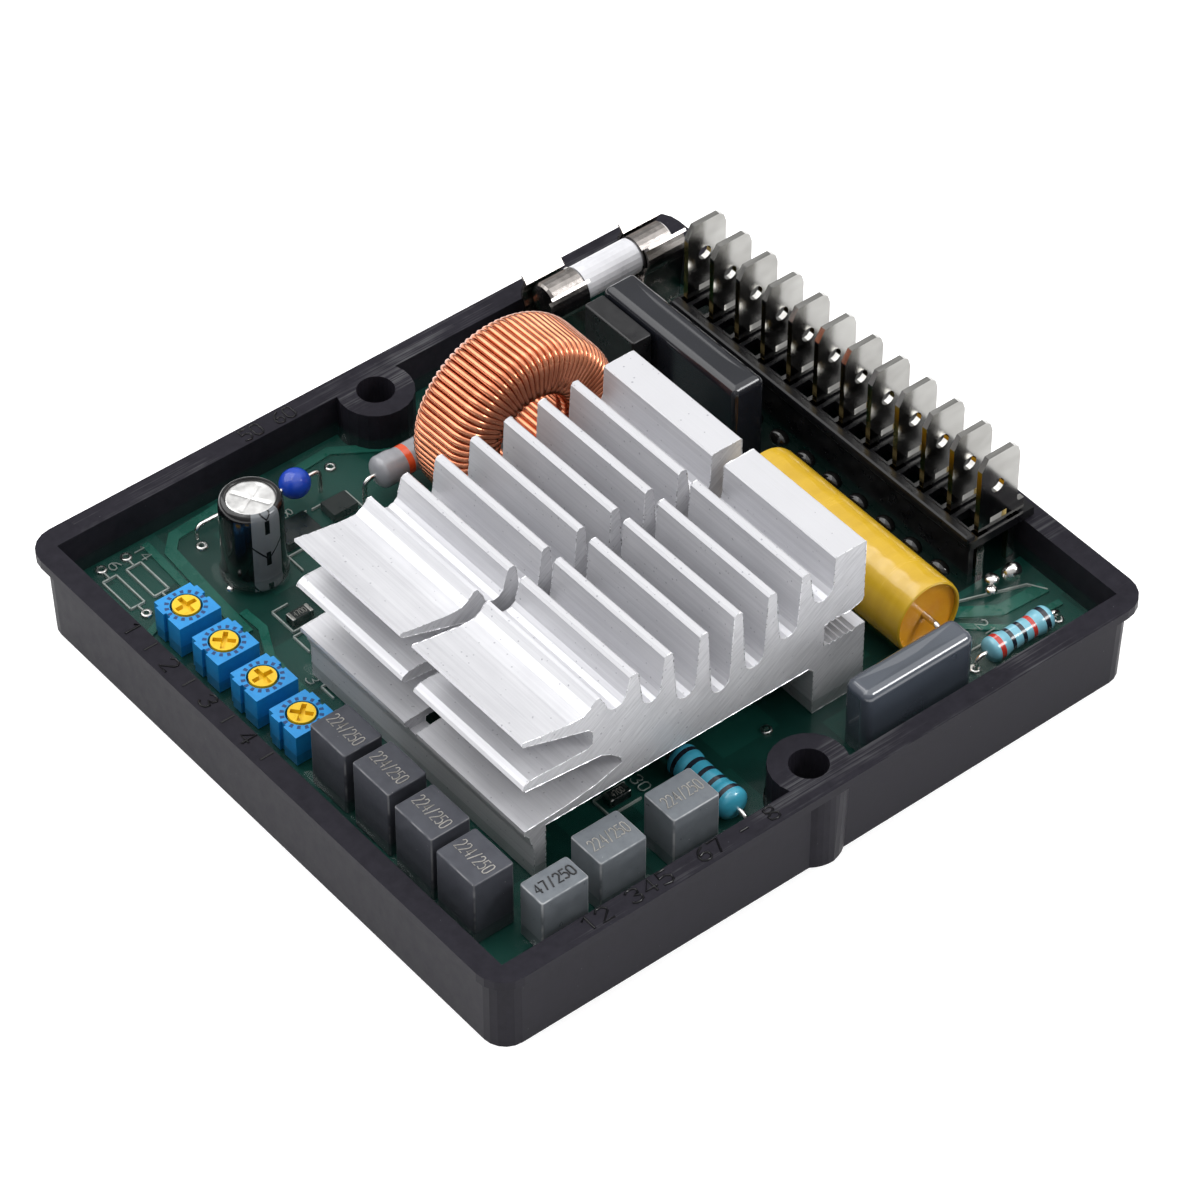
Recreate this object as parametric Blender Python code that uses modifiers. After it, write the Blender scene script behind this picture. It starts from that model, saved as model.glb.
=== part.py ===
"""Automatic voltage regulator: a potted control board in a black tray.

Frame: +Z up, the tray stands on z = 0, its centre is x = y = 0. The trimmers are
on the -X side, the terminal tabs on the +X side and the fuse in the +Y corner.
"""
import math

import bmesh
import bpy
from mathutils import Matrix, Vector

MM = 0.001
GAP = 0.3 * MM

# Layers inside the tray, from the floor up
FLOOR_THICKNESS = 1.5 * MM
BOARD_THICKNESS = 1.6 * MM
BOARD_TOP = 7.2 * MM
RESIN_DEPTH = 2.1 * MM
RIM_ABOVE_RESIN = 3.9 * MM
RESIN_TOP = BOARD_TOP + RESIN_DEPTH
TRAY_HEIGHT = RESIN_TOP + RIM_ABOVE_RESIN
BOARD_BOTTOM = BOARD_TOP - BOARD_THICKNESS
FOOT = BOARD_TOP + GAP

# Heatsink: a profile in X and height above the board, drawn along Y
SINK_Y = (-32.0 * MM, 11.3 * MM)
SINK_BASE = 8.3
FIN_TOP = 24.8
FIN_HALF_TOP = 0.62
FIN_HALF_ROOT = 1.15
FIN_CENTRES = (7.72, 2.54, -2.70, -7.92, -13.24, -18.40, -23.85)
VALLEY_HEIGHTS = (18.7, 16.0, 14.3, 13.6, 16.0, 18.6, 21.0)
BLOCK_X = (12.3, 17.06)
LEG_LEFT_X = (-33.4, -31.7)
LEG_RIGHT_X = (9.4, 17.4)
SCREW_GROOVE_X, SCREW_GROOVE_Z = 10.9, (10.9, 14.3)
GROOVE_TOOTH, GROOVE_DEPTH = 0.9, 0.35
SAW_CUT_Y = (-11.5 * MM, -9.2 * MM)
SAW_CUT_FLOOR = 7.5 * MM
WING_ROOT_X, WING_TIP_X = -24.6, -35.0
# The wings in shares of the way from root to tip, with heights above the board
TOP_WING = ((-0.10, 24.2), (-0.05, 24.2), (0.03, 23.3), (0.13, 22.65), (0.33, 22.75),
            (0.74, 23.5), (0.99, 24.05), (1.0, 23.7), (0.98, 23.3), (0.50, 21.5),
            (0.06, 19.9), (0.0, 19.2))
MIDDLE_WING = ((0.0, 17.2), (0.06, 16.9), (0.40, 17.0), (0.76, 17.25), (0.90, 17.2),
               (0.98, 16.8), (1.0, 16.3), (0.96, 15.8), (0.23, 14.95), (-0.12, 14.5),
               (-0.26, 13.7))
PLATE = ((-0.41, 12.2), (-0.42, 11.3), (-0.04, 10.1), (0.40, 9.5), (0.98, 9.15),
         (0.98, 8.5), (0.92, 7.8))
LEG_SHOULDER = 5.2
BASE_CHAMFER = 0.8
BLOCK_TOP, BLOCK_CHAMFER, GROOVE_LIP = 24.7, 0.2, (14.9, 15.5)

# Trimmers
TRIMMER_X, TRIMMER_FIRST_Y, TRIMMER_PITCH = -41.0 * MM, 26.6 * MM, -7.85 * MM
TRIMMER_SIZE_X, TRIMMER_SIZE_Y = 6.2 * MM, 5.9 * MM
TRIMMER_TOP = 5.0 * MM
TRIMMER_COUNT = 4
ROTOR_RADIUS, ROTOR_HEIGHT, ROTOR_PROUD = 1.75 * MM, 1.3 * MM, 0.1 * MM
ROTOR_SLOT_WIDTH, ROTOR_SLOT_DEPTH = 0.65 * MM, 0.7 * MM
ROTOR_TURNS = (0, 45, 0, 40)

# Box capacitors: x from, x to, y from, y to, top above the board, in millimetres
BOX_CAPACITORS = {
    "box_capacitor_1": (-44.2, -38.5, -9.9, -3.0, 10.0),
    "box_capacitor_2": (-44.4, -38.6, -18.6, -11.65, 10.7),
    "box_capacitor_3": (-44.8, -39.0, -27.3, -20.2, 10.6),
    "box_capacitor_4": (-45.2, -39.3, -35.8, -28.6, 10.3),
    "box_capacitor_5": (-30.8, -23.8, -41.1, -35.4, 8.6),
    "box_capacitor_6": (-19.9, -12.85, -41.2, -35.5, 8.6),
    "small_box_capacitor": (-40.0, -33.0, -41.8, -37.5, 8.7),
    "front_film_capacitor": (9.4, 26.8, -41.7, -37.3, 10.4),
    "rear_film_capacitor": (28.45, 33.5, 5.5, 31.6, 15.0),
    "bridge_rectifier": (25.0, 28.1, 21.2, 31.0, 14.2),
}
BOX_EDGE = {"front_film_capacitor": 0.7 * MM, "rear_film_capacitor": 1.1 * MM}
BOX_EDGE_PLAIN = 0.25 * MM

# Tray: its walls stand clear of the outermost capacitors
SIDE_CLEARANCE, END_CLEARANCE = 2.6 * MM, 2.4 * MM
RIM_THICKNESS = 1.35 * MM
RIM_WIDTH = 3.1 * MM
RIM_OVERHANG = 1.2 * MM
RIM_CORNER = 4.0 * MM
BODY_CORNER = 3.2 * MM
BODY_TAPER = 0.3 * MM
BOSS_RADIUS = 5.05 * MM
BOSS_BLEND = 0.15 * MM
MOUNTING_HOLE = 5.0 * MM
INNER_X = max(-box[0] for box in BOX_CAPACITORS.values()) * MM + SIDE_CLEARANCE
INNER_Y = max(-box[2] for box in BOX_CAPACITORS.values()) * MM + END_CLEARANCE
TRAY_X, TRAY_Y = 2 * (INNER_X + RIM_WIDTH), 2 * (INNER_Y + RIM_WIDTH)
BOSS_Y = TRAY_Y / 2 - BOSS_RADIUS - 0.05 * MM

# Surface chips: x centre, y centre, length along x, length along y, in millimetres
CHIPS = {
    "chip_1": (-20.3, 32.2, 5.2, 4.0),
    "chip_2": (-13.4, 32.4, 3.8, 3.0),
    "chip_3": (-24.6, 22.4, 1.4, 2.8),
    "chip_4": (-28.9, 19.9, 3.2, 1.6),
    "chip_5": (-17.8, -28.2, 3.2, 1.6),
    "chip_6": (-22.6, -33.0, 3.2, 1.6),
}
CHIP_HEIGHT = 1.2 * MM

# Electrolytic capacitor
CAN_X, CAN_Y, CAN_TOP = -28.2 * MM, 30.2 * MM, 13.1 * MM
SLEEVE_RADIUS, SLEEVE_WALL, SLEEVE_LIP_WIDTH = 4.1 * MM, 0.45 * MM, 0.95 * MM
CAN_RADIUS, SLEEVE_LIP = SLEEVE_RADIUS - SLEEVE_WALL - GAP, SLEEVE_RADIUS - SLEEVE_LIP_WIDTH
CAN_EDGE, SLEEVE_EDGE = 0.3 * MM, 0.5 * MM

# Toroid choke, standing on edge with its axis along Y
CHOKE_X, CHOKE_Y, CHOKE_Z = 5.1 * MM, 20.0 * MM, 14.4 * MM
WINDING_OUTER, WINDING_INNER, WINDING_WIDTH = 13.1 * MM, 5.2 * MM, 10.8 * MM
WINDING_THICKNESS, WINDING_CORNER = 1.0 * MM, 2.4 * MM
WINDING_TURN, WINDING_STEPS = 330, 33
CORE_CORNER = 1.0 * MM

# Yellow axial capacitor, lying along Y
AXIAL_X, AXIAL_Y, AXIAL_Z = 27.1 * MM, (-33.0 * MM, -2.0 * MM), 6.1 * MM
AXIAL_WIDTH, AXIAL_HEIGHT, AXIAL_LEAN = 10.2 * MM, 11.4 * MM, 20
AXIAL_LEAD_RADIUS, AXIAL_LEAD_REACH = 0.4 * MM, 2.0 * MM

# Fuse and its clips, along X
FUSE_X, FUSE_Y, FUSE_Z = 34.9 * MM, 39.2 * MM, 9.0 * MM
FUSE_LENGTH, FUSE_CAP_LENGTH, FUSE_CAP_RADIUS = 20.0 * MM, 5.2 * MM, 2.6 * MM
FUSE_TUBE_RADIUS, FUSE_NECK_RADIUS, FUSE_CAP_WALL = 2.45 * MM, 2.0 * MM, 0.3 * MM
CLIP_LENGTH, CLIP_SHEET, CLIP_HALF_BASE = 6.2 * MM, 0.4 * MM, 2.0 * MM
CLIP_FLARE, CLIP_LIP = 0.8 * MM, 0.9 * MM
CLIP_X = 8.0 * MM

# Terminal strip and tabs, heights above the board
TAB_FIRST_Y, TAB_PITCH, TAB_COUNT, TAB_THICKNESS = -26.6 * MM, 5.08 * MM, 12, 0.8 * MM
STRIP_X = (38.6 * MM, 49.2 * MM)
STRIP_OVERLAP = 1.0 * MM
STRIP_Y = (TAB_FIRST_Y - STRIP_OVERLAP,
           TAB_FIRST_Y + (TAB_COUNT - 1) * TAB_PITCH + STRIP_OVERLAP)
STRIP_THICKNESS = 1.3 * MM
STRIP_Z = (TRAY_HEIGHT + GAP, TRAY_HEIGHT + GAP + STRIP_THICKNESS)
WALL_INSET, WALL_WIDTH = 0.15 * MM, 0.8 * MM
RIDGE_WIDTH, RIDGE_HEIGHT = 1.3 * MM, 0.6 * MM
TAB_LEGS_X = ((40.4, 41.6), (45.5, 46.7))
TAB_BLADE_BOTTOM = (STRIP_Z[1] + GAP - BOARD_TOP) / MM
TAB_TOP = TAB_BLADE_BOTTOM + 11.8
TAB_CHAMFER = (1.0, 1.8)
TAB_SHOULDER_X, TAB_SHOULDER_TOP = 47.9, TAB_BLADE_BOTTOM + 1.7
TAB_HOLE = (43.2, TAB_BLADE_BOTTOM + 6.5, 1.05)
TAB_WINDOW = (42.3, 45.0, TAB_BLADE_BOTTOM + 0.5, TAB_BLADE_BOTTOM + 1.5)
RECESS_X = (40.4, 42.8)
RECESS_HALF_Y = 1.2 * MM

# Power devices under the heatsink: y from, y to, in millimetres
POWER_DEVICES = {"power_device_front": (-27.0, -12.5), "power_device_rear": (-7.0, 8.0)}
POWER_X, POWER_Z = (-14.0, -4.0), (3.4, 8.0)
POWER_LEAD_PITCH, POWER_LEAD = 2.54, 0.8

# Axial parts: start, end, height of the axis above the board, radius, in millimetres
AXIAL_PARTS = {
    "blue_resistor": ((-9.1, -28.7), (-9.1, -40.1), 2.55, 2.15),
    "light_blue_resistor": ((31.5, -38.9), (41.8, -38.9), 2.05, 1.65),
    "grey_resistor": ((-8.9, 30.7), (3.6, 30.7), 4.75, 2.2),
    "bead_capacitor": ((-19.4, 36.0), (-15.6, 36.0), 4.6, 2.0),
}
LEAD_RADIUS, LEAD_REACH, LEAD_BEND = 0.32 * MM, 1.5 * MM, 0.5 * MM
SHOULDER_STEP, SHOULDER_LENGTH, SHOULDER_FACTOR = 0.15 * MM, 0.8 * MM, 0.7
BEAD_START, BEAD_STEPS = 12, 9

COLOURS = {
    "case": ((0.030, 0.029, 0.034, 1), 0.42, 0),
    "potting": ((0.012, 0.012, 0.013, 1), 0.3, 0),
    "board": ((0.008, 0.085, 0.055, 1), 0.4, 0),
    "resin": ((0.02, 0.10, 0.08, 1), 0.08, 0),
    "trimmer": ((0.035, 0.33, 0.72, 1), 0.4, 0),
    "rotor": ((0.85, 0.56, 0.03, 1), 0.4, 0),
    "can": ((0.78, 0.77, 0.75, 1), 0.35, 1),
    "sleeve": ((0.012, 0.012, 0.014, 1), 0.2, 0),
    "ferrite": ((0.03, 0.03, 0.03, 1), 0.6, 0),
    "copper": ((0.72, 0.30, 0.17, 1), 0.3, 1),
    "aluminium": ((0.74, 0.74, 0.76, 1), 0.42, 1),
    "box": ((0.075, 0.085, 0.10, 1), 0.4, 0),
    "dark_box": ((0.03, 0.034, 0.045, 1), 0.2, 0),
    "black": ((0.015, 0.015, 0.016, 1), 0.35, 0),
    "yellow": ((0.80, 0.55, 0.03, 1), 0.25, 0),
    "ceramic": ((0.82, 0.82, 0.84, 1), 0.45, 0),
    "nickel": ((0.72, 0.70, 0.66, 1), 0.22, 1),
    "tin": ((0.70, 0.69, 0.67, 1), 0.28, 1),
    "blue_resistor": ((0.05, 0.28, 0.42, 1), 0.3, 0),
    "grey_resistor": ((0.30, 0.31, 0.34, 1), 0.3, 0),
    "bead": ((0.02, 0.05, 0.38, 1), 0.2, 0),
}
CIRCLE_STEPS = 24
FINE_STEPS = 36


def clear_scene():
    """Remove every object, mesh and collection that the file opened with."""
    for item in list(bpy.data.objects):
        bpy.data.objects.remove(item, do_unlink=True)
    for group in (bpy.data.meshes, bpy.data.curves, bpy.data.collections):
        for item in list(group):
            group.remove(item)


clear_scene()
PARTS = bpy.data.collections.new("automatic_voltage_regulator")
CUTTERS = bpy.data.collections.new("cutters")
for collection in (PARTS, CUTTERS):
    bpy.context.scene.collection.children.link(collection)


def paint(item, colour_name):
    """Give an object its own Principled material in the named colour."""
    colour, roughness, metallic = COLOURS[colour_name]
    material = bpy.data.materials.new(item.name)
    material.use_nodes = True
    shader = material.node_tree.nodes["Principled BSDF"]
    shader.inputs["Base Color"].default_value = colour
    shader.inputs["Roughness"].default_value = roughness
    shader.inputs["Metallic"].default_value = metallic
    item.data.materials.clear()
    item.data.materials.append(material)
    item.active_material = material


def add_part(name, mesh, colour_name, location=(0, 0, 0), rotation=(0, 0, 0)):
    """Put a mesh in the model as one named piece."""
    item = bpy.data.objects.new(name, mesh)
    item.location = location
    item.rotation_euler = rotation
    PARTS.objects.link(item)
    paint(item, colour_name)
    return item


def add_cutter(name, mesh, location=(0, 0, 0)):
    """Put a mesh among the cutters, where it is never rendered."""
    item = bpy.data.objects.new(name, mesh)
    item.location = location
    item.hide_render = True
    item.display_type = "WIRE"
    CUTTERS.objects.link(item)
    return item


def cut(item, cutter, operation="DIFFERENCE"):
    """Add a Boolean with the exact solver."""
    boolean = item.modifiers.new(operation.lower(), "BOOLEAN")
    boolean.operation = operation
    boolean.solver = "EXACT"
    boolean.object = cutter
    return boolean


def round_edges(item, width, segments=2):
    """Round an object's sharp edges."""
    bevel = item.modifiers.new("rounded edges", "BEVEL")
    bevel.width = width
    bevel.segments = segments
    bevel.limit_method = "ANGLE"
    return bevel


def evaluated_mesh(item, even_caps=False):
    """The object's mesh with its modifiers done, welded, facing out."""
    graph = bpy.context.evaluated_depsgraph_get()
    mesh = bpy.data.meshes.new_from_object(item.evaluated_get(graph))
    build = bmesh.new()
    build.from_mesh(mesh)
    bmesh.ops.remove_doubles(build, verts=build.verts, dist=0.002 * MM)
    if even_caps:
        flat = {face for face in build.faces if len({round(v.co.z, 7) for v in face.verts}) == 1}
        inner = [edge for edge in build.edges if flat.issuperset(edge.link_faces)]
        bmesh.ops.beautify_fill(build, faces=list(flat), edges=inner)
    bmesh.ops.recalc_face_normals(build, faces=build.faces)
    build.to_mesh(mesh)
    build.free()
    return mesh


def cube_mesh(name, low, high):
    """A box primitive between two corners."""
    build = bmesh.new()
    bmesh.ops.create_cube(build, size=1)
    centre = [(a + b) / 2 for a, b in zip(low, high)]
    size = [b - a for a, b in zip(low, high)]
    bmesh.ops.scale(build, vec=size, verts=build.verts)
    bmesh.ops.translate(build, vec=centre, verts=build.verts)
    mesh = bpy.data.meshes.new(name)
    build.to_mesh(mesh)
    build.free()
    return mesh


def cylinder_mesh(name, radius, depth, steps=CIRCLE_STEPS):
    """A cylinder primitive, centred, its axis along Z."""
    build = bmesh.new()
    bmesh.ops.create_cone(build, cap_ends=True, segments=steps, radius1=radius,
                          radius2=radius, depth=depth)
    mesh = bpy.data.meshes.new(name)
    build.to_mesh(mesh)
    build.free()
    return mesh


def outline_mesh(name, loops, low, high, taper=0.0, upright=False):
    """A flat outline with holes, filled as a 2D curve and given a thickness.

    The outline lies in XY and runs from z = low to z = high, the lower edge drawn
    in by taper. An upright outline lies in XZ and runs from y = low to y = high.
    """
    curve = bpy.data.curves.new(name, "CURVE")
    curve.dimensions = "2D"
    curve.fill_mode = "BOTH"
    curve.extrude = (high - low) / 2
    for loop in loops:
        spline = curve.splines.new("POLY")
        spline.points.add(len(loop) - 1)
        for point, (u, v) in zip(spline.points, loop):
            point.co = (u, v, 0, 1)
        spline.use_cyclic_u = True
    holder = bpy.data.objects.new(name, curve)
    bpy.context.scene.collection.objects.link(holder)
    bpy.context.view_layer.update()
    mesh = evaluated_mesh(holder, even_caps=True)
    bpy.data.objects.remove(holder, do_unlink=True)
    middle = (low + high) / 2
    for vertex in mesh.vertices:
        u, v, w = vertex.co
        if taper and w < 0:
            u -= math.copysign(taper, u)
            v -= math.copysign(taper, v)
        vertex.co = (u, middle - w, v) if upright else (u, v, middle + w)
    return mesh


def turned_mesh(name, profile, steps=FINE_STEPS, angle=360, closed=False):
    """A profile of radius and height, turned round Z with a Screw modifier."""
    mesh = bpy.data.meshes.new(name)
    edges = [(i, i + 1) for i in range(len(profile) - 1)]
    if closed:
        edges.append((len(profile) - 1, 0))
    mesh.from_pydata([(radius, 0, height) for radius, height in profile], edges, [])
    holder = bpy.data.objects.new(name, mesh)
    bpy.context.scene.collection.objects.link(holder)
    screw = holder.modifiers.new("turn", "SCREW")
    screw.angle = math.radians(angle)
    screw.steps = screw.render_steps = steps
    screw.use_merge_vertices = angle == 360
    screw.merge_threshold = 0.001 * MM
    bpy.context.view_layer.update()
    if angle != 360:
        shell = holder.modifiers.new("wall", "SOLIDIFY")
        shell.thickness = WINDING_THICKNESS
        shell.offset = -1
        bpy.context.view_layer.update()
    result = evaluated_mesh(holder)
    bpy.data.objects.remove(holder, do_unlink=True)
    return result


def wire_mesh(name, points, radii, resolution=2):
    """A round wire along points, each with its own radius, as a bevelled curve."""
    curve = bpy.data.curves.new(name, "CURVE")
    curve.dimensions = "3D"
    curve.bevel_depth = 1 * MM
    curve.bevel_resolution = resolution
    curve.use_fill_caps = True
    spline = curve.splines.new("POLY")
    spline.points.add(len(points) - 1)
    for point, place, radius in zip(spline.points, points, radii):
        point.co = (*place, 1)
        point.radius = radius / MM
    holder = bpy.data.objects.new(name, curve)
    bpy.context.scene.collection.objects.link(holder)
    bpy.context.view_layer.update()
    mesh = evaluated_mesh(holder)
    bpy.data.objects.remove(holder, do_unlink=True)
    return mesh


def arc(x, y, radius, start, end, steps):
    """Points on a circle from one angle to another, in degrees."""
    return [(x + radius * math.cos(math.radians(start + (end - start) * i / steps)),
             y + radius * math.sin(math.radians(start + (end - start) * i / steps)))
            for i in range(steps + 1)]


def rounded_rectangle(half_x, half_y, radius, steps=5):
    """A rectangle with round corners, anticlockwise."""
    corners = ((1, 1, 0), (-1, 1, 90), (-1, -1, 180), (1, -1, 270))
    return [point for sx, sy, start in corners
            for point in arc(sx * (half_x - radius), sy * (half_y - radius), radius,
                             start, start + 90, steps)]


def rectangle(x0, x1, y0, y1):
    """The four corners of a rectangle, anticlockwise."""
    return [(x0, y0), (x1, y0), (x1, y1), (x0, y1)]


def circle(x, y, radius, steps=CIRCLE_STEPS):
    """A circle without its repeated last point."""
    return arc(x, y, radius, 0, 360, steps)[:-1]


def body_outline(half_x, half_y, radius, boss_radius):
    """The tray's body: a rounded rectangle that bulges out round both bosses."""
    half_angle = math.degrees(math.acos((half_y + BOSS_BLEND - BOSS_Y) / boss_radius))
    steps = 8
    points = []
    for sx, sy, start in ((1, 1, 0), (-1, 1, 90), (-1, -1, 180), (1, -1, 270)):
        points += arc(sx * (half_x - radius), sy * (half_y - radius), radius,
                      start, start + 90, 5)
        if (sx, sy) == (1, 1):
            points += arc(0, BOSS_Y, boss_radius, 90 - half_angle, 90 + half_angle, steps)
        if (sx, sy) == (-1, -1):
            points += arc(0, -BOSS_Y, boss_radius, 270 - half_angle, 270 + half_angle, steps)
    return points


def inner_outline(inset):
    """The space inside the tray, with both bosses standing into it."""
    half_x, half_y, radius = INNER_X - inset, INNER_Y - inset, BOSS_RADIUS + inset
    side = math.degrees(math.asin((half_y - BOSS_Y) / radius))
    steps = 14
    points = [(half_x, -half_y), (half_x, half_y)]
    points += arc(0, BOSS_Y, radius, side, -180 - side, steps)
    points += [(-half_x, half_y), (-half_x, -half_y)]
    return points + [(-x, -y) for x, y in arc(0, BOSS_Y, radius, side, -180 - side, steps)]


def grow(x0, x1, y0, y1):
    """A rectangle of a piece's footprint with the gap round it, from millimetres."""
    return rectangle(x0 * MM - GAP, x1 * MM + GAP, y0 * MM - GAP, y1 * MM + GAP)


# The tray
rim = outline_mesh("rim", [rounded_rectangle(TRAY_X / 2, TRAY_Y / 2, RIM_CORNER)],
                   TRAY_HEIGHT - RIM_THICKNESS, TRAY_HEIGHT)
body = outline_mesh("case", [body_outline(TRAY_X / 2 - RIM_OVERHANG, TRAY_Y / 2 - RIM_OVERHANG,
                                          BODY_CORNER, BOSS_RADIUS)],
                    0, TRAY_HEIGHT - RIM_THICKNESS / 2, taper=BODY_TAPER)
inside = outline_mesh("inside", [inner_outline(0)], FLOOR_THICKNESS, TRAY_HEIGHT + GAP)
case = add_part("case", body, "case")
cut(case, add_cutter("rim_flange", rim), "UNION")
cut(case, add_cutter("tray_inside", inside))
for index, side in enumerate((-1, 1)):
    drill = cylinder_mesh("drill", MOUNTING_HOLE / 2, TRAY_HEIGHT * 2)
    cut(case, add_cutter(f"mounting_hole_{index + 1}", drill,
                         (0, side * BOSS_Y, TRAY_HEIGHT / 2)))

add_part("potting_base", outline_mesh("potting_base", [inner_outline(GAP)],
                                      FLOOR_THICKNESS + GAP, BOARD_BOTTOM - GAP), "potting")
add_part("circuit_board", outline_mesh("circuit_board", [inner_outline(GAP)],
                                       BOARD_BOTTOM, BOARD_TOP), "board")


# The heatsink
def fin_and_valleys():
    """The fins from right to left, each pair joined by a round-bottomed valley."""
    points = []
    right_top, right_root = BLOCK_X[0], BLOCK_X[0] - 0.2
    for centre, valley in zip(FIN_CENTRES, VALLEY_HEIGHTS):
        left_root = centre + FIN_HALF_ROOT
        middle, half = (right_root + left_root) / 2, (right_root - left_root) / 2
        points += arc(middle, valley + half, half, 0, -180, 6)
        if centre != FIN_CENTRES[-1]:
            chamfer = FIN_HALF_TOP / 2
            points += [(centre + FIN_HALF_TOP, FIN_TOP - chamfer), (centre + chamfer, FIN_TOP),
                       (centre - chamfer, FIN_TOP), (centre - FIN_HALF_TOP, FIN_TOP - chamfer)]
        right_root = centre - FIN_HALF_ROOT
    return points


def groove_teeth(height, depth, start, count):
    """Small teeth along one face of the screw groove."""
    return [(start + i * GROOVE_TOOTH / 2, height + (depth if i % 2 else 0))
            for i in range(count * 2 + 1)]


def heatsink_profile():
    """The extrusion's outline in millimetres: legs, screw groove, block, fins, wings."""
    foot = GAP / MM
    groove_low, groove_high = SCREW_GROOVE_Z
    points = [(LEG_LEFT_X[0], foot), (LEG_LEFT_X[1], foot), (LEG_LEFT_X[1], SINK_BASE),
              (LEG_RIGHT_X[0] - BASE_CHAMFER, SINK_BASE),
              (LEG_RIGHT_X[0], SINK_BASE - BASE_CHAMFER), (LEG_RIGHT_X[0], foot),
              (LEG_RIGHT_X[1], foot), (LEG_RIGHT_X[1], groove_low)]
    lower = groove_teeth(groove_low, -GROOVE_DEPTH, SCREW_GROOVE_X + GROOVE_TOOTH / 2, 5)
    points += lower[::-1] + [(SCREW_GROOVE_X, groove_low), (SCREW_GROOVE_X, groove_high)]
    points += groove_teeth(groove_high, GROOVE_DEPTH, SCREW_GROOVE_X + GROOVE_TOOTH / 2, 3)
    lip_x, lip_z = GROOVE_LIP
    left, right = BLOCK_X
    points += [(lip_x, groove_high), (right - BLOCK_CHAMFER, (groove_high + lip_z) / 2),
               (right, lip_z), (right, BLOCK_TOP - BLOCK_CHAMFER),
               (right - BLOCK_CHAMFER, BLOCK_TOP), (left + BLOCK_CHAMFER, BLOCK_TOP),
               (left, BLOCK_TOP - BLOCK_CHAMFER)]
    points += fin_and_valleys()
    reach = WING_TIP_X - WING_ROOT_X
    points += [(WING_ROOT_X + share * reach, z) for share, z in TOP_WING + MIDDLE_WING + PLATE]
    return points + [(LEG_LEFT_X[0], LEG_SHOULDER)]


profile = [(x * MM, BOARD_TOP + z * MM) for x, z in heatsink_profile()]
heatsink = add_part("heatsink", outline_mesh("heatsink", [profile], *SINK_Y, upright=True),
                    "aluminium")
saw_low = ((WING_TIP_X - 3) * MM, SAW_CUT_Y[0], BOARD_TOP + SAW_CUT_FLOOR)
saw_high = ((LEG_RIGHT_X[1] + 3) * MM, SAW_CUT_Y[1], BOARD_TOP + (FIN_TOP + 3) * MM)
cut(heatsink, add_cutter("saw_cut", cube_mesh("saw_cut", saw_low, saw_high)))

for name, (y0, y1) in POWER_DEVICES.items():
    low = (POWER_X[0] * MM, y0 * MM, BOARD_TOP + POWER_Z[0] * MM)
    high = (POWER_X[1] * MM, y1 * MM, BOARD_TOP + POWER_Z[1] * MM)
    device = add_part(name, cube_mesh(name, low, high), "black")
    middle = (POWER_X[0] + POWER_X[1]) / 2
    for step in (-1, 0, 1):
        x = (middle + step * POWER_LEAD_PITCH) * MM
        half = POWER_LEAD * MM / 2
        y = (y0 + 1.5) * MM
        lead = cube_mesh("lead", (x - half, y - half, FOOT), (x + half, y + half, low[2] + GAP))
        cut(device, add_cutter(f"{name}_lead_{step + 2}", lead), "UNION")

# Box-shaped parts and chips
for name, (x0, x1, y0, y1, top) in BOX_CAPACITORS.items():
    colour = "dark_box" if name in BOX_EDGE else "black" if name == "bridge_rectifier" else "box"
    mesh = cube_mesh(name, (x0 * MM, y0 * MM, FOOT), (x1 * MM, y1 * MM, BOARD_TOP + top * MM))
    segments = 3 if name in BOX_EDGE else 1
    round_edges(add_part(name, mesh, colour), BOX_EDGE.get(name, BOX_EDGE_PLAIN), segments)
for name, (x, y, size_x, size_y) in CHIPS.items():
    low = ((x - size_x / 2) * MM, (y - size_y / 2) * MM, FOOT)
    high = ((x + size_x / 2) * MM, (y + size_y / 2) * MM, FOOT + CHIP_HEIGHT)
    add_part(name, cube_mesh(name, low, high), "black")


# Trimmers
def trimmer_outline():
    """A square with a notch in the middle of two sides and two stepped corners."""
    hx, hy = TRIMMER_SIZE_X / 2, TRIMMER_SIZE_Y / 2
    n, d = 0.45 * MM, 0.4 * MM
    half = [(hx, -hy), (hx, -n), (hx - d, -n), (hx - d, n), (hx, n), (hx, hy - 2 * n),
            (hx - d, hy - 2 * n), (hx - d, hy)]
    return half + [(-x, y) for x, y in half[::-1]]


trimmer_source = add_part("trimmer_body_1", outline_mesh(
    "trimmer_body", [trimmer_outline()], FOOT - BOARD_TOP, TRIMMER_TOP), "trimmer")
seat = cylinder_mesh("rotor_seat", ROTOR_RADIUS + GAP, 2 * (ROTOR_HEIGHT + GAP))
cut(trimmer_source, add_cutter("rotor_seat", seat, (0, 0, TRIMMER_TOP + ROTOR_PROUD)))
bpy.context.view_layer.update()
body_mesh = evaluated_mesh(trimmer_source)
bpy.data.objects.remove(trimmer_source, do_unlink=True)

rotor_source = add_part("trimmer_rotor_1", cylinder_mesh(
    "trimmer_rotor", ROTOR_RADIUS, ROTOR_HEIGHT), "rotor")
arm, half = ROTOR_RADIUS - GAP, ROTOR_SLOT_WIDTH / 2
cross = [(half, half), (half, arm), (-half, arm), (-half, half), (-arm, half), (-arm, -half),
         (-half, -half), (-half, -arm), (half, -arm), (half, -half), (arm, -half), (arm, half)]
slot = outline_mesh("rotor_slot", [cross], ROTOR_HEIGHT / 2 - ROTOR_SLOT_DEPTH, ROTOR_HEIGHT)
cut(rotor_source, add_cutter("rotor_slot", slot))
bpy.context.view_layer.update()
rotor_mesh = evaluated_mesh(rotor_source)
bpy.data.objects.remove(rotor_source, do_unlink=True)

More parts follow.
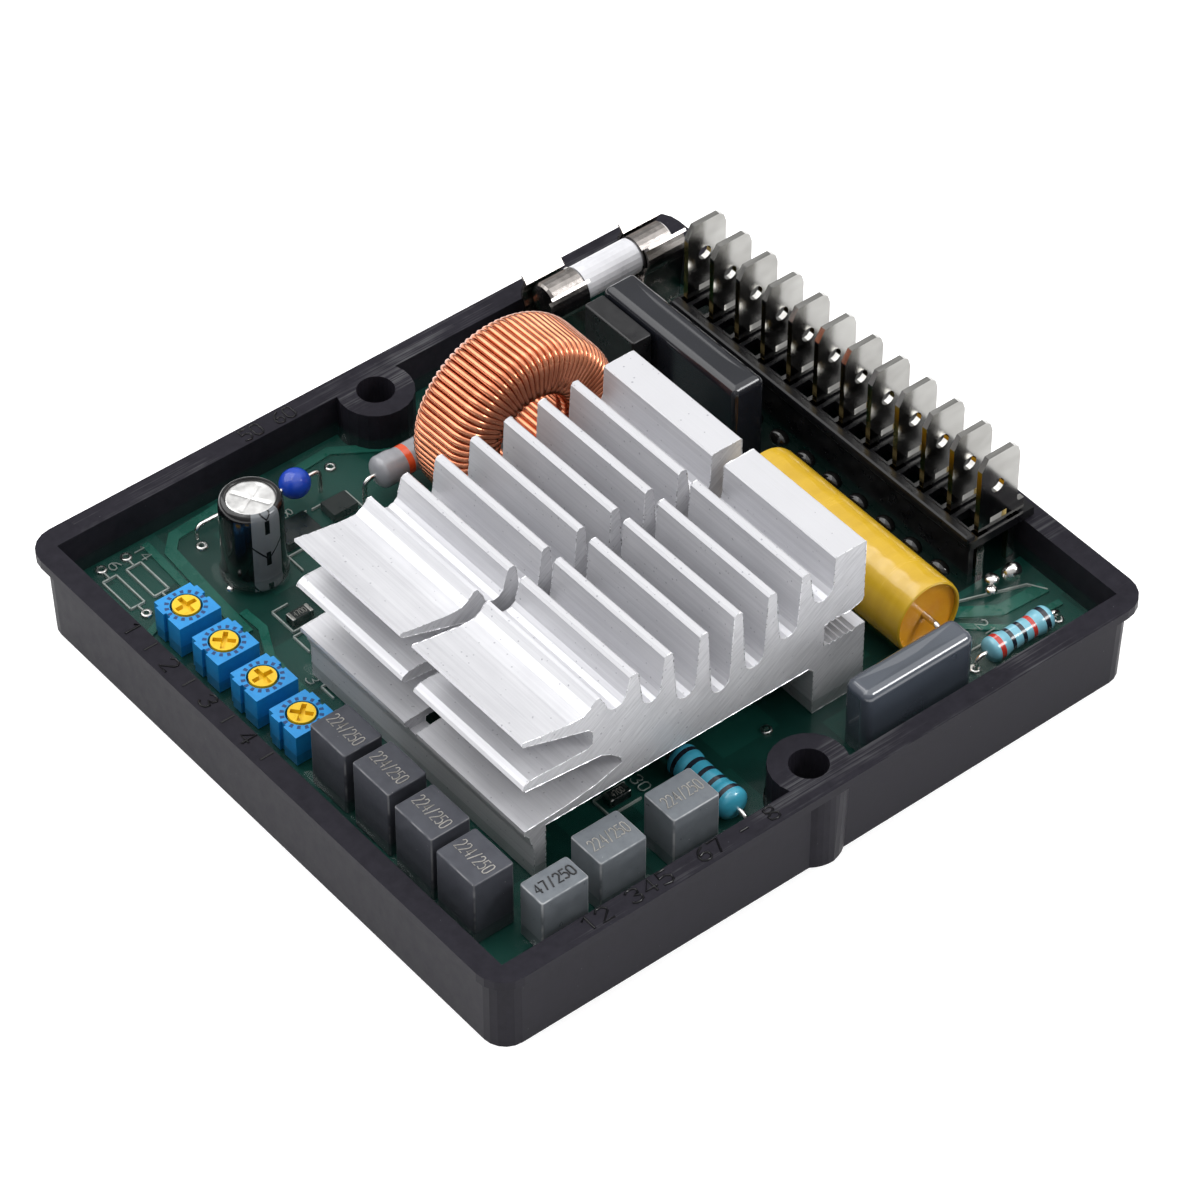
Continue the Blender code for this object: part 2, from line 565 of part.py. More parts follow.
rotor_z = BOARD_TOP + TRIMMER_TOP + ROTOR_PROUD - ROTOR_HEIGHT / 2
for index in range(TRIMMER_COUNT):
    y = TRIMMER_FIRST_Y + index * TRIMMER_PITCH
    add_part(f"trimmer_body_{index + 1}", body_mesh.copy(), "trimmer", (TRIMMER_X, y, BOARD_TOP))
    add_part(f"trimmer_rotor_{index + 1}", rotor_mesh.copy(), "rotor", (TRIMMER_X, y, rotor_z),
             (0, 0, math.radians(ROTOR_TURNS[index])))

# Electrolytic capacitor: the can stands in its sleeve, whose lip curls over the top
can_top, can_foot = CAN_TOP - SLEEVE_WALL - GAP, SLEEVE_WALL + GAP
sleeve_inner, lip_low = SLEEVE_RADIUS - SLEEVE_WALL, CAN_TOP - SLEEVE_WALL
can_profile = [(0, can_top), (CAN_RADIUS - CAN_EDGE, can_top), (CAN_RADIUS, can_top - CAN_EDGE),
               (CAN_RADIUS, can_foot), (0, can_foot)]
sleeve_profile = [(0, SLEEVE_WALL), (sleeve_inner, SLEEVE_WALL), (sleeve_inner, lip_low),
                  (SLEEVE_LIP, lip_low), (SLEEVE_LIP, CAN_TOP),
                  (SLEEVE_RADIUS - SLEEVE_EDGE, CAN_TOP), (SLEEVE_RADIUS, CAN_TOP - SLEEVE_EDGE),
                  (SLEEVE_RADIUS, 0), (0, 0)]
can_place = (CAN_X, CAN_Y, FOOT)
add_part("electrolytic_can", turned_mesh("electrolytic_can", can_profile), "can", can_place)
add_part("electrolytic_sleeve", turned_mesh("electrolytic_sleeve", sleeve_profile),
         "sleeve", can_place)


# Toroid choke
def ring_section(outer, inner, width, corner, steps):
    """The ring's cross section, down its outer side first."""
    centre = (outer + inner) / 2
    half_radial, half_width = (outer - inner) / 2, width / 2
    loop = rounded_rectangle(half_radial, half_width, corner, steps)
    return [(centre + u, v) for u, v in loop][::-1]


upright = (math.radians(-90), 0, 0)
choke_place = (CHOKE_X, CHOKE_Y, CHOKE_Z + BOARD_TOP)
inset = WINDING_THICKNESS + GAP
core = turned_mesh("toroid_core", ring_section(WINDING_OUTER - inset, WINDING_INNER + inset,
                                               WINDING_WIDTH - 2 * inset, CORE_CORNER, 1),
                   closed=True)
add_part("toroid_core", core, "ferrite", choke_place, upright)
winding = turned_mesh("toroid_winding", ring_section(WINDING_OUTER, WINDING_INNER, WINDING_WIDTH,
                                                     WINDING_CORNER, 3),
                      steps=WINDING_STEPS, angle=WINDING_TURN, closed=True)
gap_middle = math.radians((WINDING_TURN + 360) / 2)
winding.transform(Matrix.Rotation(math.radians(90) - gap_middle, 4, "Z"))
add_part("toroid_winding", winding, "copper", choke_place, upright)

# Yellow axial capacitor: an oval body with a bent lead at each end
length = AXIAL_Y[1] - AXIAL_Y[0]
oval = cylinder_mesh("axial_capacitor", 0.5, length, FINE_STEPS)
lean = math.radians(AXIAL_LEAN)
for vertex in oval.vertices:
    u, v, w = vertex.co
    u, v = u * AXIAL_WIDTH, v * AXIAL_HEIGHT
    vertex.co = (u * math.cos(lean) - v * math.sin(lean), w,
                 u * math.sin(lean) + v * math.cos(lean))
oval.flip_normals()
axial = add_part("axial_capacitor", oval, "yellow",
                 (AXIAL_X, sum(AXIAL_Y) / 2, BOARD_TOP + AXIAL_Z))
for index, side in enumerate((-1, 1)):
    start, reach = side * (length / 2 - 1 * MM), side * (length / 2 + AXIAL_LEAD_REACH)
    down = FOOT - BOARD_TOP - AXIAL_Z
    places = [(0, start, 0), (0, reach - side * 0.6 * MM, 0), (0, reach, -0.6 * MM),
              (0, reach, down)]
    lead = wire_mesh("axial_lead", places, [AXIAL_LEAD_RADIUS] * 4)
    cutter = add_cutter(f"axial_lead_{index + 1}", lead, tuple(axial.location))
    cut(axial, cutter, "UNION")


# Small axial parts: one wire that swells into the body between its two bends
def axial_part(start, end, height, radius, bead):
    """Points and radii from the board, along the body and down to the board again."""
    a, b = Vector((*start, height)) * MM, Vector((*end, height)) * MM
    a.z, b.z = a.z + BOARD_TOP, b.z + BOARD_TOP
    along = (b - a).normalized()
    radius *= MM
    out_a, out_b = a - along * LEAD_REACH, b + along * LEAD_REACH
    drop, turn = Vector((0, 0, LEAD_BEND)), along * LEAD_BEND
    foot_a, foot_b = Vector((out_a.x, out_a.y, FOOT)), Vector((out_b.x, out_b.y, FOOT))
    places = [foot_a, out_a - drop, out_a + turn]
    radii = [LEAD_RADIUS] * 3
    if bead:
        for i in range(BEAD_STEPS):
            share = i / (BEAD_STEPS - 1)
            angle = math.radians(BEAD_START + (180 - 2 * BEAD_START) * share)
            places.append(a.lerp(b, 0.5 - 0.5 * math.cos(angle)))
            radii.append(radius * math.sin(angle))
    else:
        edge, shoulder = along * SHOULDER_STEP, along * SHOULDER_LENGTH
        inner = radius * SHOULDER_FACTOR
        places += [a, a + edge, a + shoulder, b - shoulder, b - edge, b]
        radii += [LEAD_RADIUS, inner, radius, radius, inner, LEAD_RADIUS]
    places += [out_b - turn, out_b - drop, foot_b]
    radii += [LEAD_RADIUS] * 3
    return places, radii


for name, (start, end, height, radius) in AXIAL_PARTS.items():
    bead = name == "bead_capacitor"
    places, radii = axial_part(start, end, height, radius, bead)
    colour = {"bead_capacitor": "bead", "grey_resistor": "grey_resistor"}.get(
        name, "blue_resistor")
    add_part(name, wire_mesh(name, places, radii, 3), colour)

# Fuse: a necked ceramic tube in two metal caps
half, neck = FUSE_LENGTH / 2, FUSE_LENGTH / 2 - FUSE_CAP_LENGTH - GAP
tube_end = half - FUSE_CAP_WALL - GAP
tube_profile = [(0, tube_end), (FUSE_NECK_RADIUS, tube_end), (FUSE_NECK_RADIUS, neck),
                (FUSE_TUBE_RADIUS, neck), (FUSE_TUBE_RADIUS, -neck), (FUSE_NECK_RADIUS, -neck),
                (FUSE_NECK_RADIUS, -tube_end), (0, -tube_end)]
cap_inner = FUSE_CAP_RADIUS - FUSE_CAP_WALL
cap_profile = [(0, half), (FUSE_CAP_RADIUS - 0.3 * MM, half), (FUSE_CAP_RADIUS, half - 0.3 * MM),
               (FUSE_CAP_RADIUS, half - FUSE_CAP_LENGTH), (cap_inner, half - FUSE_CAP_LENGTH),
               (cap_inner, half - FUSE_CAP_WALL), (0, half - FUSE_CAP_WALL)]
fuse_place = (FUSE_X, FUSE_Y, BOARD_TOP + FUSE_Z)
add_part("fuse_tube", turned_mesh("fuse_tube", tube_profile, CIRCLE_STEPS), "ceramic",
         fuse_place, (0, math.radians(90), 0))
for name, turn in (("fuse_cap_right", 90), ("fuse_cap_left", -90)):
    add_part(name, turned_mesh(name, cap_profile, CIRCLE_STEPS), "nickel", fuse_place,
             (0, math.radians(turn), 0))


def clip_line():
    """The clip's sheet in Y and height: base, two arms round the fuse, flared tips."""
    radius = FUSE_CAP_RADIUS + GAP + CLIP_SHEET / 2
    base = FOOT - BOARD_TOP + CLIP_SHEET / 2
    right = [(CLIP_HALF_BASE, base), (CLIP_HALF_BASE, base + 2 * MM)]
    right += [(y, FUSE_Z + z) for y, z in arc(0, 0, radius, -35, 42, 6)]
    last_y, last_z = right[-1]
    right.append((last_y + CLIP_FLARE, last_z + CLIP_LIP))
    return [(-y, z) for y, z in right[::-1]] + right


for name, side in (("fuse_clip_left", -1), ("fuse_clip_right", 1)):
    line = clip_line()
    mesh = bpy.data.meshes.new(name)
    points = [(x * CLIP_LENGTH / 2, y, z) for x in (-1, 1) for y, z in line]
    count = len(line)
    faces = [(i, i + 1, count + i + 1, count + i) for i in range(count - 1)]
    mesh.from_pydata(points, [], faces)
    clip = add_part(name, mesh, "nickel", (FUSE_X + side * CLIP_X, FUSE_Y, BOARD_TOP))
    sheet = clip.modifiers.new("sheet", "SOLIDIFY")
    sheet.thickness = CLIP_SHEET
    sheet.offset = 0
    sheet.use_even_offset = True

# Terminal strip: a thin plate on the rim, slotted for the tabs, with a ridge along -X
# and a wall below it that hides their legs
tab_places = [TAB_FIRST_Y + index * TAB_PITCH for index in range(TAB_COUNT)]
slots = []
for y in tab_places:
    half = TAB_THICKNESS / 2 + GAP
    slots += [rectangle(x0 * MM - GAP, x1 * MM + GAP, y - half, y + half)
              for x0, x1 in TAB_LEGS_X]
for y in tab_places[:-1]:
    middle = y + TAB_PITCH / 2
    slots.append(rectangle(RECESS_X[0] * MM, RECESS_X[1] * MM, middle - RECESS_HALF_Y,
                           middle + RECESS_HALF_Y))
strip = add_part("terminal_strip", outline_mesh(
    "terminal_strip", [rectangle(*STRIP_X, *STRIP_Y)] + slots, *STRIP_Z), "case")
wall_low = (STRIP_X[0] + WALL_INSET, STRIP_Y[0] + GAP, FOOT)
wall_high = (wall_low[0] + WALL_WIDTH, STRIP_Y[1] - GAP, STRIP_Z[0] + GAP)
cut(strip, add_cutter("terminal_wall", cube_mesh("terminal_wall", wall_low, wall_high)), "UNION")
ridge_low = (STRIP_X[0] - GAP, STRIP_Y[0] + GAP, STRIP_Z[0] + GAP)
ridge_high = (STRIP_X[0] + RIDGE_WIDTH, STRIP_Y[1] - GAP, STRIP_Z[1] + RIDGE_HEIGHT)
ridge = add_cutter("terminal_ridge", cube_mesh("terminal_ridge", ridge_low, ridge_high))
round_edges(ridge, 0.4 * MM)
cut(strip, ridge, "UNION")


def tab_outline():
    """A flat tab on two legs: chamfered blade, shoulder on the +X side."""
    (a0, a1), (b0, b1) = TAB_LEGS_X
    foot, (cx, cz) = GAP / MM, TAB_CHAMFER
    return [(a0, foot), (a1, foot), (a1, TAB_BLADE_BOTTOM), (b0, TAB_BLADE_BOTTOM), (b0, foot),
            (b1, foot), (b1, TAB_BLADE_BOTTOM), (TAB_SHOULDER_X, TAB_BLADE_BOTTOM),
            (TAB_SHOULDER_X, TAB_SHOULDER_TOP), (b1 + 0.3, TAB_SHOULDER_TOP),
            (b1, TAB_SHOULDER_TOP + 0.4), (b1, TAB_TOP - cz), (b1 - 0.4, TAB_TOP - 0.6),
            (b1 - 1.2, TAB_TOP), (a0 + cx, TAB_TOP), (a0, TAB_TOP - cz)]


hole_x, hole_z, hole_radius = TAB_HOLE
tab_loops = [tab_outline(), circle(hole_x, hole_z, hole_radius, 12), rectangle(*TAB_WINDOW)]
tab_loops = [[(x * MM, BOARD_TOP + z * MM) for x, z in loop] for loop in tab_loops]
tab_mesh = outline_mesh("terminal_tab", tab_loops, -TAB_THICKNESS / 2, TAB_THICKNESS / 2,
                        upright=True)
for index, y in enumerate(tab_places):
    add_part(f"terminal_tab_{index + 1}", tab_mesh.copy(), "tin", (0, y, 0))


# Clear resin over the board, with an opening round every part that stands in it
def lying_opening(start, end, radius):
    """The opening for a part that lies in the resin: narrow for its leads, wide for it."""
    a, b = Vector(start) * MM, Vector(end) * MM
    length, along = (b - a).length, (b - a).normalized()
    across = Vector((-along.y, along.x))
    reach, narrow, wide = LEAD_REACH + LEAD_RADIUS + GAP, LEAD_RADIUS + GAP, radius * MM + GAP
    half = [(-reach, narrow), (-GAP, narrow), (-GAP, wide), (length + GAP, wide),
            (length + GAP, narrow), (length + reach, narrow)]
    return [tuple(a + along * u + across * v)
            for u, v in half + [(u, -v) for u, v in half[::-1]]]


openings = [grow(*box[:4]) for box in BOX_CAPACITORS.values()]
openings += [grow(x - a / 2, x + a / 2, y - b / 2, y + b / 2) for x, y, a, b in CHIPS.values()]
sink_y = [y / MM for y in SINK_Y]
openings += [grow(*LEG_LEFT_X, *sink_y), grow(*LEG_RIGHT_X, *sink_y)]
tx, ty = TRIMMER_SIZE_X / 2 / MM, TRIMMER_SIZE_Y / 2 / MM
for index in range(TRIMMER_COUNT):
    x, y = TRIMMER_X / MM, (TRIMMER_FIRST_Y + index * TRIMMER_PITCH) / MM
    openings.append(grow(x - tx, x + tx, y - ty, y + ty))
openings.append(circle(CAN_X, CAN_Y, SLEEVE_RADIUS + GAP))
dip = BOARD_TOP + CHOKE_Z - RESIN_TOP
chord = math.sqrt(WINDING_OUTER ** 2 - dip ** 2) / MM
choke_x, choke_y, half_width = CHOKE_X / MM, CHOKE_Y / MM, WINDING_WIDTH / 2 / MM
openings.append(grow(choke_x - chord, choke_x + chord, choke_y - half_width,
                     choke_y + half_width))
openings.append(grow(AXIAL_X / MM - 4.6, AXIAL_X / MM + 4.6, AXIAL_Y[0] / MM, AXIAL_Y[1] / MM))
for y in (AXIAL_Y[0] - AXIAL_LEAD_REACH, AXIAL_Y[1] + AXIAL_LEAD_REACH):
    openings.append(circle(AXIAL_X, y, AXIAL_LEAD_RADIUS + GAP, 8))
for start, end, height, radius in AXIAL_PARTS.values():
    a, b = Vector(start) * MM, Vector(end) * MM
    along = (b - a).normalized() * LEAD_REACH
    if (height - radius) * MM < RESIN_DEPTH + GAP:
        openings.append(lying_opening(start, end, radius))
    else:
        openings += [circle(*(a - along), LEAD_RADIUS + GAP, 8),
                     circle(*(b + along), LEAD_RADIUS + GAP, 8)]
clip_half = CLIP_HALF_BASE / MM + CLIP_SHEET / MM
for side in (-1, 1):
    x, y = (FUSE_X + side * CLIP_X) / MM, FUSE_Y / MM
    reach = CLIP_LENGTH / 2 / MM
    openings.append(grow(x - reach, x + reach, y - clip_half, y + clip_half))
for y in tab_places:
    half = TAB_THICKNESS / 2 / MM
    openings += [grow(x0, x1, y / MM - half, y / MM + half) for x0, x1 in TAB_LEGS_X]
openings.append(rectangle(wall_low[0] - GAP, wall_high[0] + GAP, wall_low[1] - GAP,
                          wall_high[1] + GAP))
for y0, _ in POWER_DEVICES.values():
    half = POWER_LEAD / 2
    middle = (POWER_X[0] + POWER_X[1]) / 2
    openings += [grow(middle + step * POWER_LEAD_PITCH - half,
                      middle + step * POWER_LEAD_PITCH + half, y0 + 1.5 - half, y0 + 1.5 + half)
                 for step in (-1, 0, 1)]
add_part("clear_resin", outline_mesh("clear_resin", [inner_outline(GAP)] + openings,
                                     BOARD_TOP + GAP, RESIN_TOP), "resin")

bpy.context.view_layer.update()
for item in PARTS.objects:
    if item.type == "MESH":
        item.data.shade_smooth()
        item.data.set_sharp_from_angle(angle=math.radians(35))
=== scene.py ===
# %% [markdown]
# # An automatic voltage regulator, dressed for the camera
#
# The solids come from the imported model: a black tray, a green board under clear
# resin, a sawn aluminium heatsink and the parts that stand round it. This file
# gives every surface its finish, and swaps the plain solids that need finer forms
# (wound wire, resin, capacitors, resistors, chips) for surfaces worked out with
# numpy. Lengths are millimetres until they go into a mesh or a shader.

# %% Load the frame
import math

import bmesh
import bpy
import numpy as np
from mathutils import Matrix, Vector


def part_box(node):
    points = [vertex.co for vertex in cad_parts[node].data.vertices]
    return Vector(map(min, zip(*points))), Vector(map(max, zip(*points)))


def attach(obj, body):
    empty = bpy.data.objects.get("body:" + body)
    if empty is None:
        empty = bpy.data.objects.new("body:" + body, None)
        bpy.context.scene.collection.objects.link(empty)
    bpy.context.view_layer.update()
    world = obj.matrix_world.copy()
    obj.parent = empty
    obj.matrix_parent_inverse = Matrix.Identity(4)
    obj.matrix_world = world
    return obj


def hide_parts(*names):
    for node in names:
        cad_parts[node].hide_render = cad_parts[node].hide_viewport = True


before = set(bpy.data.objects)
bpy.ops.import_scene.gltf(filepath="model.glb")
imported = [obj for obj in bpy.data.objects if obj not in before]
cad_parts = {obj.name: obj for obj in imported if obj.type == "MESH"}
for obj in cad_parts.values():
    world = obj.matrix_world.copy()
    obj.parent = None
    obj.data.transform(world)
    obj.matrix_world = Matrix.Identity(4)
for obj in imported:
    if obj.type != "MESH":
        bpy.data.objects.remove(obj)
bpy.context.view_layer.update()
MM = 0.001
BODY = "regulator"
BOARD_TOP, RESIN_TOP, RIM_TOP = 7.2, 9.3, 13.2

# %% [markdown]
# ## Camera, floor and light
#
# The camera was solved from the tray's four rim corners: a long lens, looking down
# at about 45 degrees along a corner. The floor is plain and pale. Two large soft
# lights and a bright surrounding give the broad reflections that metal needs, and a
# smaller light puts the glints on wire and solder.

# %% Camera, floor and light
EYE, LOOK_AT = Vector((-0.2909, -0.3616, 0.4665)), Vector((-0.00184, -0.00528, 0.0132))
camera_data = bpy.data.cameras.new("camera")
camera_data.lens, camera_data.sensor_width = 158.75, 36.0
camera_data.clip_start, camera_data.clip_end = 0.05, 20.0
camera = bpy.data.objects.new("camera", camera_data)
camera.location = EYE
aim = LOOK_AT - EYE
camera.rotation_euler = aim.to_track_quat("-Z", "Y").to_euler()
bpy.context.scene.collection.objects.link(camera)
bpy.context.scene.camera = camera


def area_light(name, place, size, power):
    """A square soft light at a place, turned to face the part."""
    data = bpy.data.lights.new(name, "AREA")
    data.shape, data.size, data.energy = "SQUARE", size, power
    lamp = bpy.data.objects.new(name, data)
    lamp.location = place
    lamp.rotation_euler = (-lamp.location).to_track_quat("-Z", "Y").to_euler()
    bpy.context.scene.collection.objects.link(lamp)


area_light("key", (-0.34, 0.56, 0.84), 1.2, 11.0)
area_light("fill", (0.60, -0.66, 0.68), 0.3, 4.5)
area_light("top", (0.20, -0.10, 1.1), 1.4, 6.6)
world = bpy.data.worlds.new("studio")
world.use_nodes = True
sky = world.node_tree
look = sky.nodes.new("ShaderNodeTexCoord")
height = sky.nodes.new("ShaderNodeSeparateXYZ")
shade = sky.nodes.new("ShaderNodeMapRange")
for key, value in (("From Min", 0.05), ("From Max", 0.75), ("To Min", 0.26),
                   ("To Max", 0.76)):
    shade.inputs[key].default_value = value
sky.links.new(look.outputs["Generated"], height.inputs[0])
sky.links.new(height.outputs["Z"], shade.inputs["Value"])
sky.links.new(shade.outputs["Result"], sky.nodes["Background"].inputs["Strength"])
sky.nodes["Background"].inputs["Color"].default_value = (1, 1, 1, 1)
bpy.context.scene.world = world
bpy.context.scene.view_settings.view_transform = "Standard"
print("camera distance:", round(aim.length, 3))

# %% [markdown]
# ## Mesh helpers
#
# Most new pieces are grids: rows of points, joined by quads. A seam or a pole is
# closed by merging the points that meet there, and the faces are then turned out.


# %% Mesh helpers
def once_round(count):
    """Even angles round a circle, without the last, where the first comes again."""
    return np.linspace(0, 2 * np.pi, count, endpoint=False)


def grid_faces(rows, columns, wrap=True):
    """The quads between neighbouring rows and columns; wrap joins the last column
    to the first."""
    row = np.arange(rows - 1)
    column = np.arange(columns if wrap else columns - 1)
    r, c = np.meshgrid(row, column, indexing="ij")
    after = (c + 1) % columns
    quads = [r * columns + c, r * columns + after, (r + 1) * columns + after,
             (r + 1) * columns + c]
    return np.stack(quads, axis=-1).reshape(-1, 4)


def make_mesh(name, points, faces, closed=True, smooth=40):
    """A mesh object from points in millimetres and a list of faces. Meeting points
    are merged, a closed form is turned outwards, and edges sharper than the smooth
    angle stay crisp."""
    mesh = bpy.data.meshes.new(name)
    mesh.from_pydata((np.asarray(points, float).reshape(-1, 3) * MM).tolist(), [],
                     np.asarray(faces).tolist())
    build = bmesh.new()
    build.from_mesh(mesh)
    bmesh.ops.remove_doubles(build, verts=build.verts, dist=1e-7)
    if closed:
        bmesh.ops.recalc_face_normals(build, faces=build.faces)
    build.to_mesh(mesh)
    build.free()
    mesh.shade_smooth()
    mesh.set_sharp_from_angle(angle=math.radians(smooth))
    piece = bpy.data.objects.new(name, mesh)
    bpy.context.scene.collection.objects.link(piece)
    return piece


def place(piece, slot, *nodes, body=BODY):
    """Let a finished piece ride its body, and stand for the solids it replaces."""
    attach(piece, body)
    if nodes:
        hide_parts(*nodes)
    return piece


def lathe(name, profile, centre, axis="Z"):
    """A turned form: each profile pair (radius, height) swept round an axis.
    x = radius * cos(angle), y = radius * sin(angle), z = height."""
    radius, height = np.array(profile, float).T
    angle = once_round(64)
    x = radius[:, None] * np.cos(angle)
    y = radius[:, None] * np.sin(angle)
    z = np.repeat(height[:, None], len(angle), axis=1)
    points = {"Z": (x, y, z), "X": (z, x, y), "Y": (y, z, x)}[axis]
    points = np.stack(points, axis=-1) + np.array(centre)
    return make_mesh(name, points, grid_faces(len(radius), len(angle)))


def tube_points(path, radius, up, sides):
    """Rings of points along a path. Round each point a circle is laid across the
    path: point + radius * (cos * side + sin * across), where side is the given up
    direction made square to the path. Both ends close in a pole."""
    path = np.array(path, float)
    path = np.concatenate([path[:1], path, path[-1:]])
    radius = np.broadcast_to(np.asarray(radius, float), len(path) - 2)
    radius = np.concatenate([[0], radius, [0]])
    up = np.broadcast_to(np.asarray(up, float), (len(path) - 2, 3))
    up = np.concatenate([up[:1], up, up[-1:]])
    along = np.gradient(path, axis=0)
    along[0], along[-1] = path[2] - path[1], path[-2] - path[-3]
    along[1], along[-2] = along[0], along[-1]
    along /= np.linalg.norm(along, axis=1, keepdims=True)
    side = up - along * (up * along).sum(axis=1, keepdims=True)
    side /= np.linalg.norm(side, axis=1, keepdims=True)
    across = np.cross(along, side)
    angle = once_round(sides)[None, :, None]
    ring = np.cos(angle) * side[:, None] + np.sin(angle) * across[:, None]
    return path[:, None] + radius[:, None, None] * ring


def tube(name, path, radius, up, sides=12):
    """A round wire along a path."""
    points = tube_points(path, radius, up, sides)
    return make_mesh(name, points, grid_faces(len(points), sides), smooth=60)


def join_grids(name, grids, smooth=60):
    """One mesh from many closed grids of points: the faces of each are counted on
    from the points before it."""
    start = np.cumsum([0] + [g.shape[0] * g.shape[1] for g in grids])
    faces = [grid_faces(*g.shape[:2]) + first for g, first in zip(grids, start)]
    points = np.concatenate([g.reshape(-1, 3) for g in grids])
    return make_mesh(name, points, np.concatenate(faces), smooth=smooth)


def ribbon_points(path, width, low, high):
    """A flat strip along a path in the plane: at each point the corners lie half a
    width to either side, at the low and the high level, and each end closes in a
    point."""
    path = np.array(path, float)
    along = np.gradient(path, axis=0)
    along /= np.linalg.norm(along, axis=1, keepdims=True)
    across = np.stack([-along[:, 1], along[:, 0]], axis=-1) * width / 2
    left, right = path + across, path - across
    flat = np.stack([left, right, right, left], axis=1)
    level = np.broadcast_to(np.array([low, low, high, high])[None, :, None],
                            (len(path), 4, 1))
    rows = np.concatenate([flat, level], axis=-1)
    ends = [np.repeat(row.mean(axis=0)[None], 4, axis=0)[None] for row in rows[[0, -1]]]
    return np.concatenate([ends[0], rows, ends[1]])


HOLD = 0.04  # from a turn to the point that keeps its flat side flat


def rounded_outline(half_x, half_y, corner, steps=6):
    """A rectangle with round corners: each corner's centre plus corner * (cos, sin)
    over its own quarter turn, anticlockwise. One more point just before and just
    after each turn keeps the flat sides flat when the shading is smoothed."""
    quarter = np.linspace(0, np.pi / 2, steps + 1)
    quarter = np.concatenate([quarter[:1], quarter, quarter[-1:]])
    turns = np.concatenate([quarter + k * np.pi / 2 for k in range(4)])
    slide = np.tile(np.concatenate([[-HOLD], np.zeros(steps + 1), [HOLD]]), 4)
    sign_x = np.repeat([1, -1, -1, 1], steps + 3)
    sign_y = np.repeat([1, 1, -1, -1], steps + 3)
    corner = min(corner, half_x, half_y)
    x = sign_x * (half_x - corner) + corner * np.cos(turns) - slide * np.sin(turns)
    y = sign_y * (half_y - corner) + corner * np.sin(turns) + slide * np.cos(turns)
    return np.stack([x, y], axis=-1)


def box_points(x0, x1, y0, y1, z0, z1, corner=0.5, edge=0.35, dish=0.0):
    """A box with round upright corners and a rounded top edge. Each row is the
    outline drawn in by an inset; over the edge the inset grows as 1 - cos and the
    height falls as 1 - sin. The top sinks by dish * (1 - share squared) towards
    its middle, and both ends close in a point."""
    half_x, half_y = (x1 - x0) / 2, (y1 - y0) / 2
    turn = np.linspace(0, np.pi / 2, 6)
    inset = np.concatenate([[0, 0], edge * (1 - np.cos(turn)), [edge + HOLD]])
    height = np.concatenate([[z0, z1 - edge - HOLD], z1 - edge * (1 - np.sin(turn)), [z1]])
    flat = [rounded_outline(half_x - i, half_y - i, max(corner - i, 0.05)) for i in inset]
    rows = [np.c_[ring, np.full(len(ring), z)] for ring, z in zip(flat, height)]
    shares = [0.75, 0.5, 0.25, 0.0] if dish else [0.0]
    top = [rows[-1] * [k, k, 1] - [0, 0, dish * (1 - k * k)] for k in shares]
    points = np.stack([rows[0] * [0, 0, 1]] + rows + top)
    points[..., :2] += [(x0 + x1) / 2, (y0 + y1) / 2]
    return points


def moulded_box(name, *sizes, **settings):
    """One moulded box as a mesh of its own."""
    return join_grids(name, [box_points(*sizes, **settings)], smooth=50)


print("points on a rounded outline:", len(rounded_outline(2, 2, 1)))


# %% [markdown]
# ## Shared finishes
#
# Real surfaces are never one colour. Three node groups are used all over: long fine
# marks, as a die, a mill or a mould leaves them, small specks of dust and nicks, and
# a painted highlight in pale patches where a surface turns round an edge, which is
# where its normal lies between the main directions. They put out plain values, and
# each material mixes them in its own way.


# %% Shared node groups
def new_group(name, inputs, outputs):
    """An empty shader node group with named float or vector inputs and outputs."""
    group = bpy.data.node_groups.new(name, "ShaderNodeTree")
    for label, kind, value in inputs:
        socket = group.interface.new_socket(label, in_out="INPUT", socket_type=kind)
        socket.default_value = value
    for label in outputs:
        group.interface.new_socket(label, in_out="OUTPUT", socket_type="NodeSocketFloat")
    return group, group.nodes.new("NodeGroupInput"), group.nodes.new("NodeGroupOutput")


def add_node(tree, kind, links=None, **settings):
    """Add a node, set its plain values and connect its inputs."""
    made = tree.nodes.new(kind)
    for key, value in settings.items():
        if key.startswith("in_"):
            name = key[3:].replace("_", " ")
            slot = int(name) if name.isdigit() else name
            made.inputs[slot].default_value = value
        else:
            setattr(made, key, value)
    for slot, source in (links or {}).items():
        tree.links.new(source, made.inputs[slot])
    return made


def calc(tree, operation, *values):
    """Add a maths node on sockets or plain numbers, and give its output."""
    made = tree.nodes.new("ShaderNodeMath")
    made.operation = operation
    for slot, value in enumerate(values):
        if isinstance(value, (int, float)):
            made.inputs[slot].default_value = value
        else:
            tree.links.new(value, made.inputs[slot])
    return made.outputs[0]


def axes(tree, vector):
    """The X, Y and Z of a vector, on the outputs of one node."""
    return add_node(tree, "ShaderNodeSeparateXYZ", {0: vector}).outputs


def object_place(tree):
    """Where the shaded point lies in the part."""
    return add_node(tree, "ShaderNodeTexCoord").outputs["Object"]


def facing(tree):
    """The X, Y and Z of the way that the flat face looks."""
    return axes(tree, add_node(tree, "ShaderNodeNewGeometry").outputs["True Normal"])


def remap(tree, value, start=0.0, stop=1.0, low=0.0, high=1.0, **settings):
    """Turn the range from start to stop into the range from low to high."""
    made = add_node(tree, "ShaderNodeMapRange", {"Value": value}, in_From_Min=start,
                    in_From_Max=stop, in_To_Min=low, in_To_Max=high, **settings)
    return made.outputs["Result"]


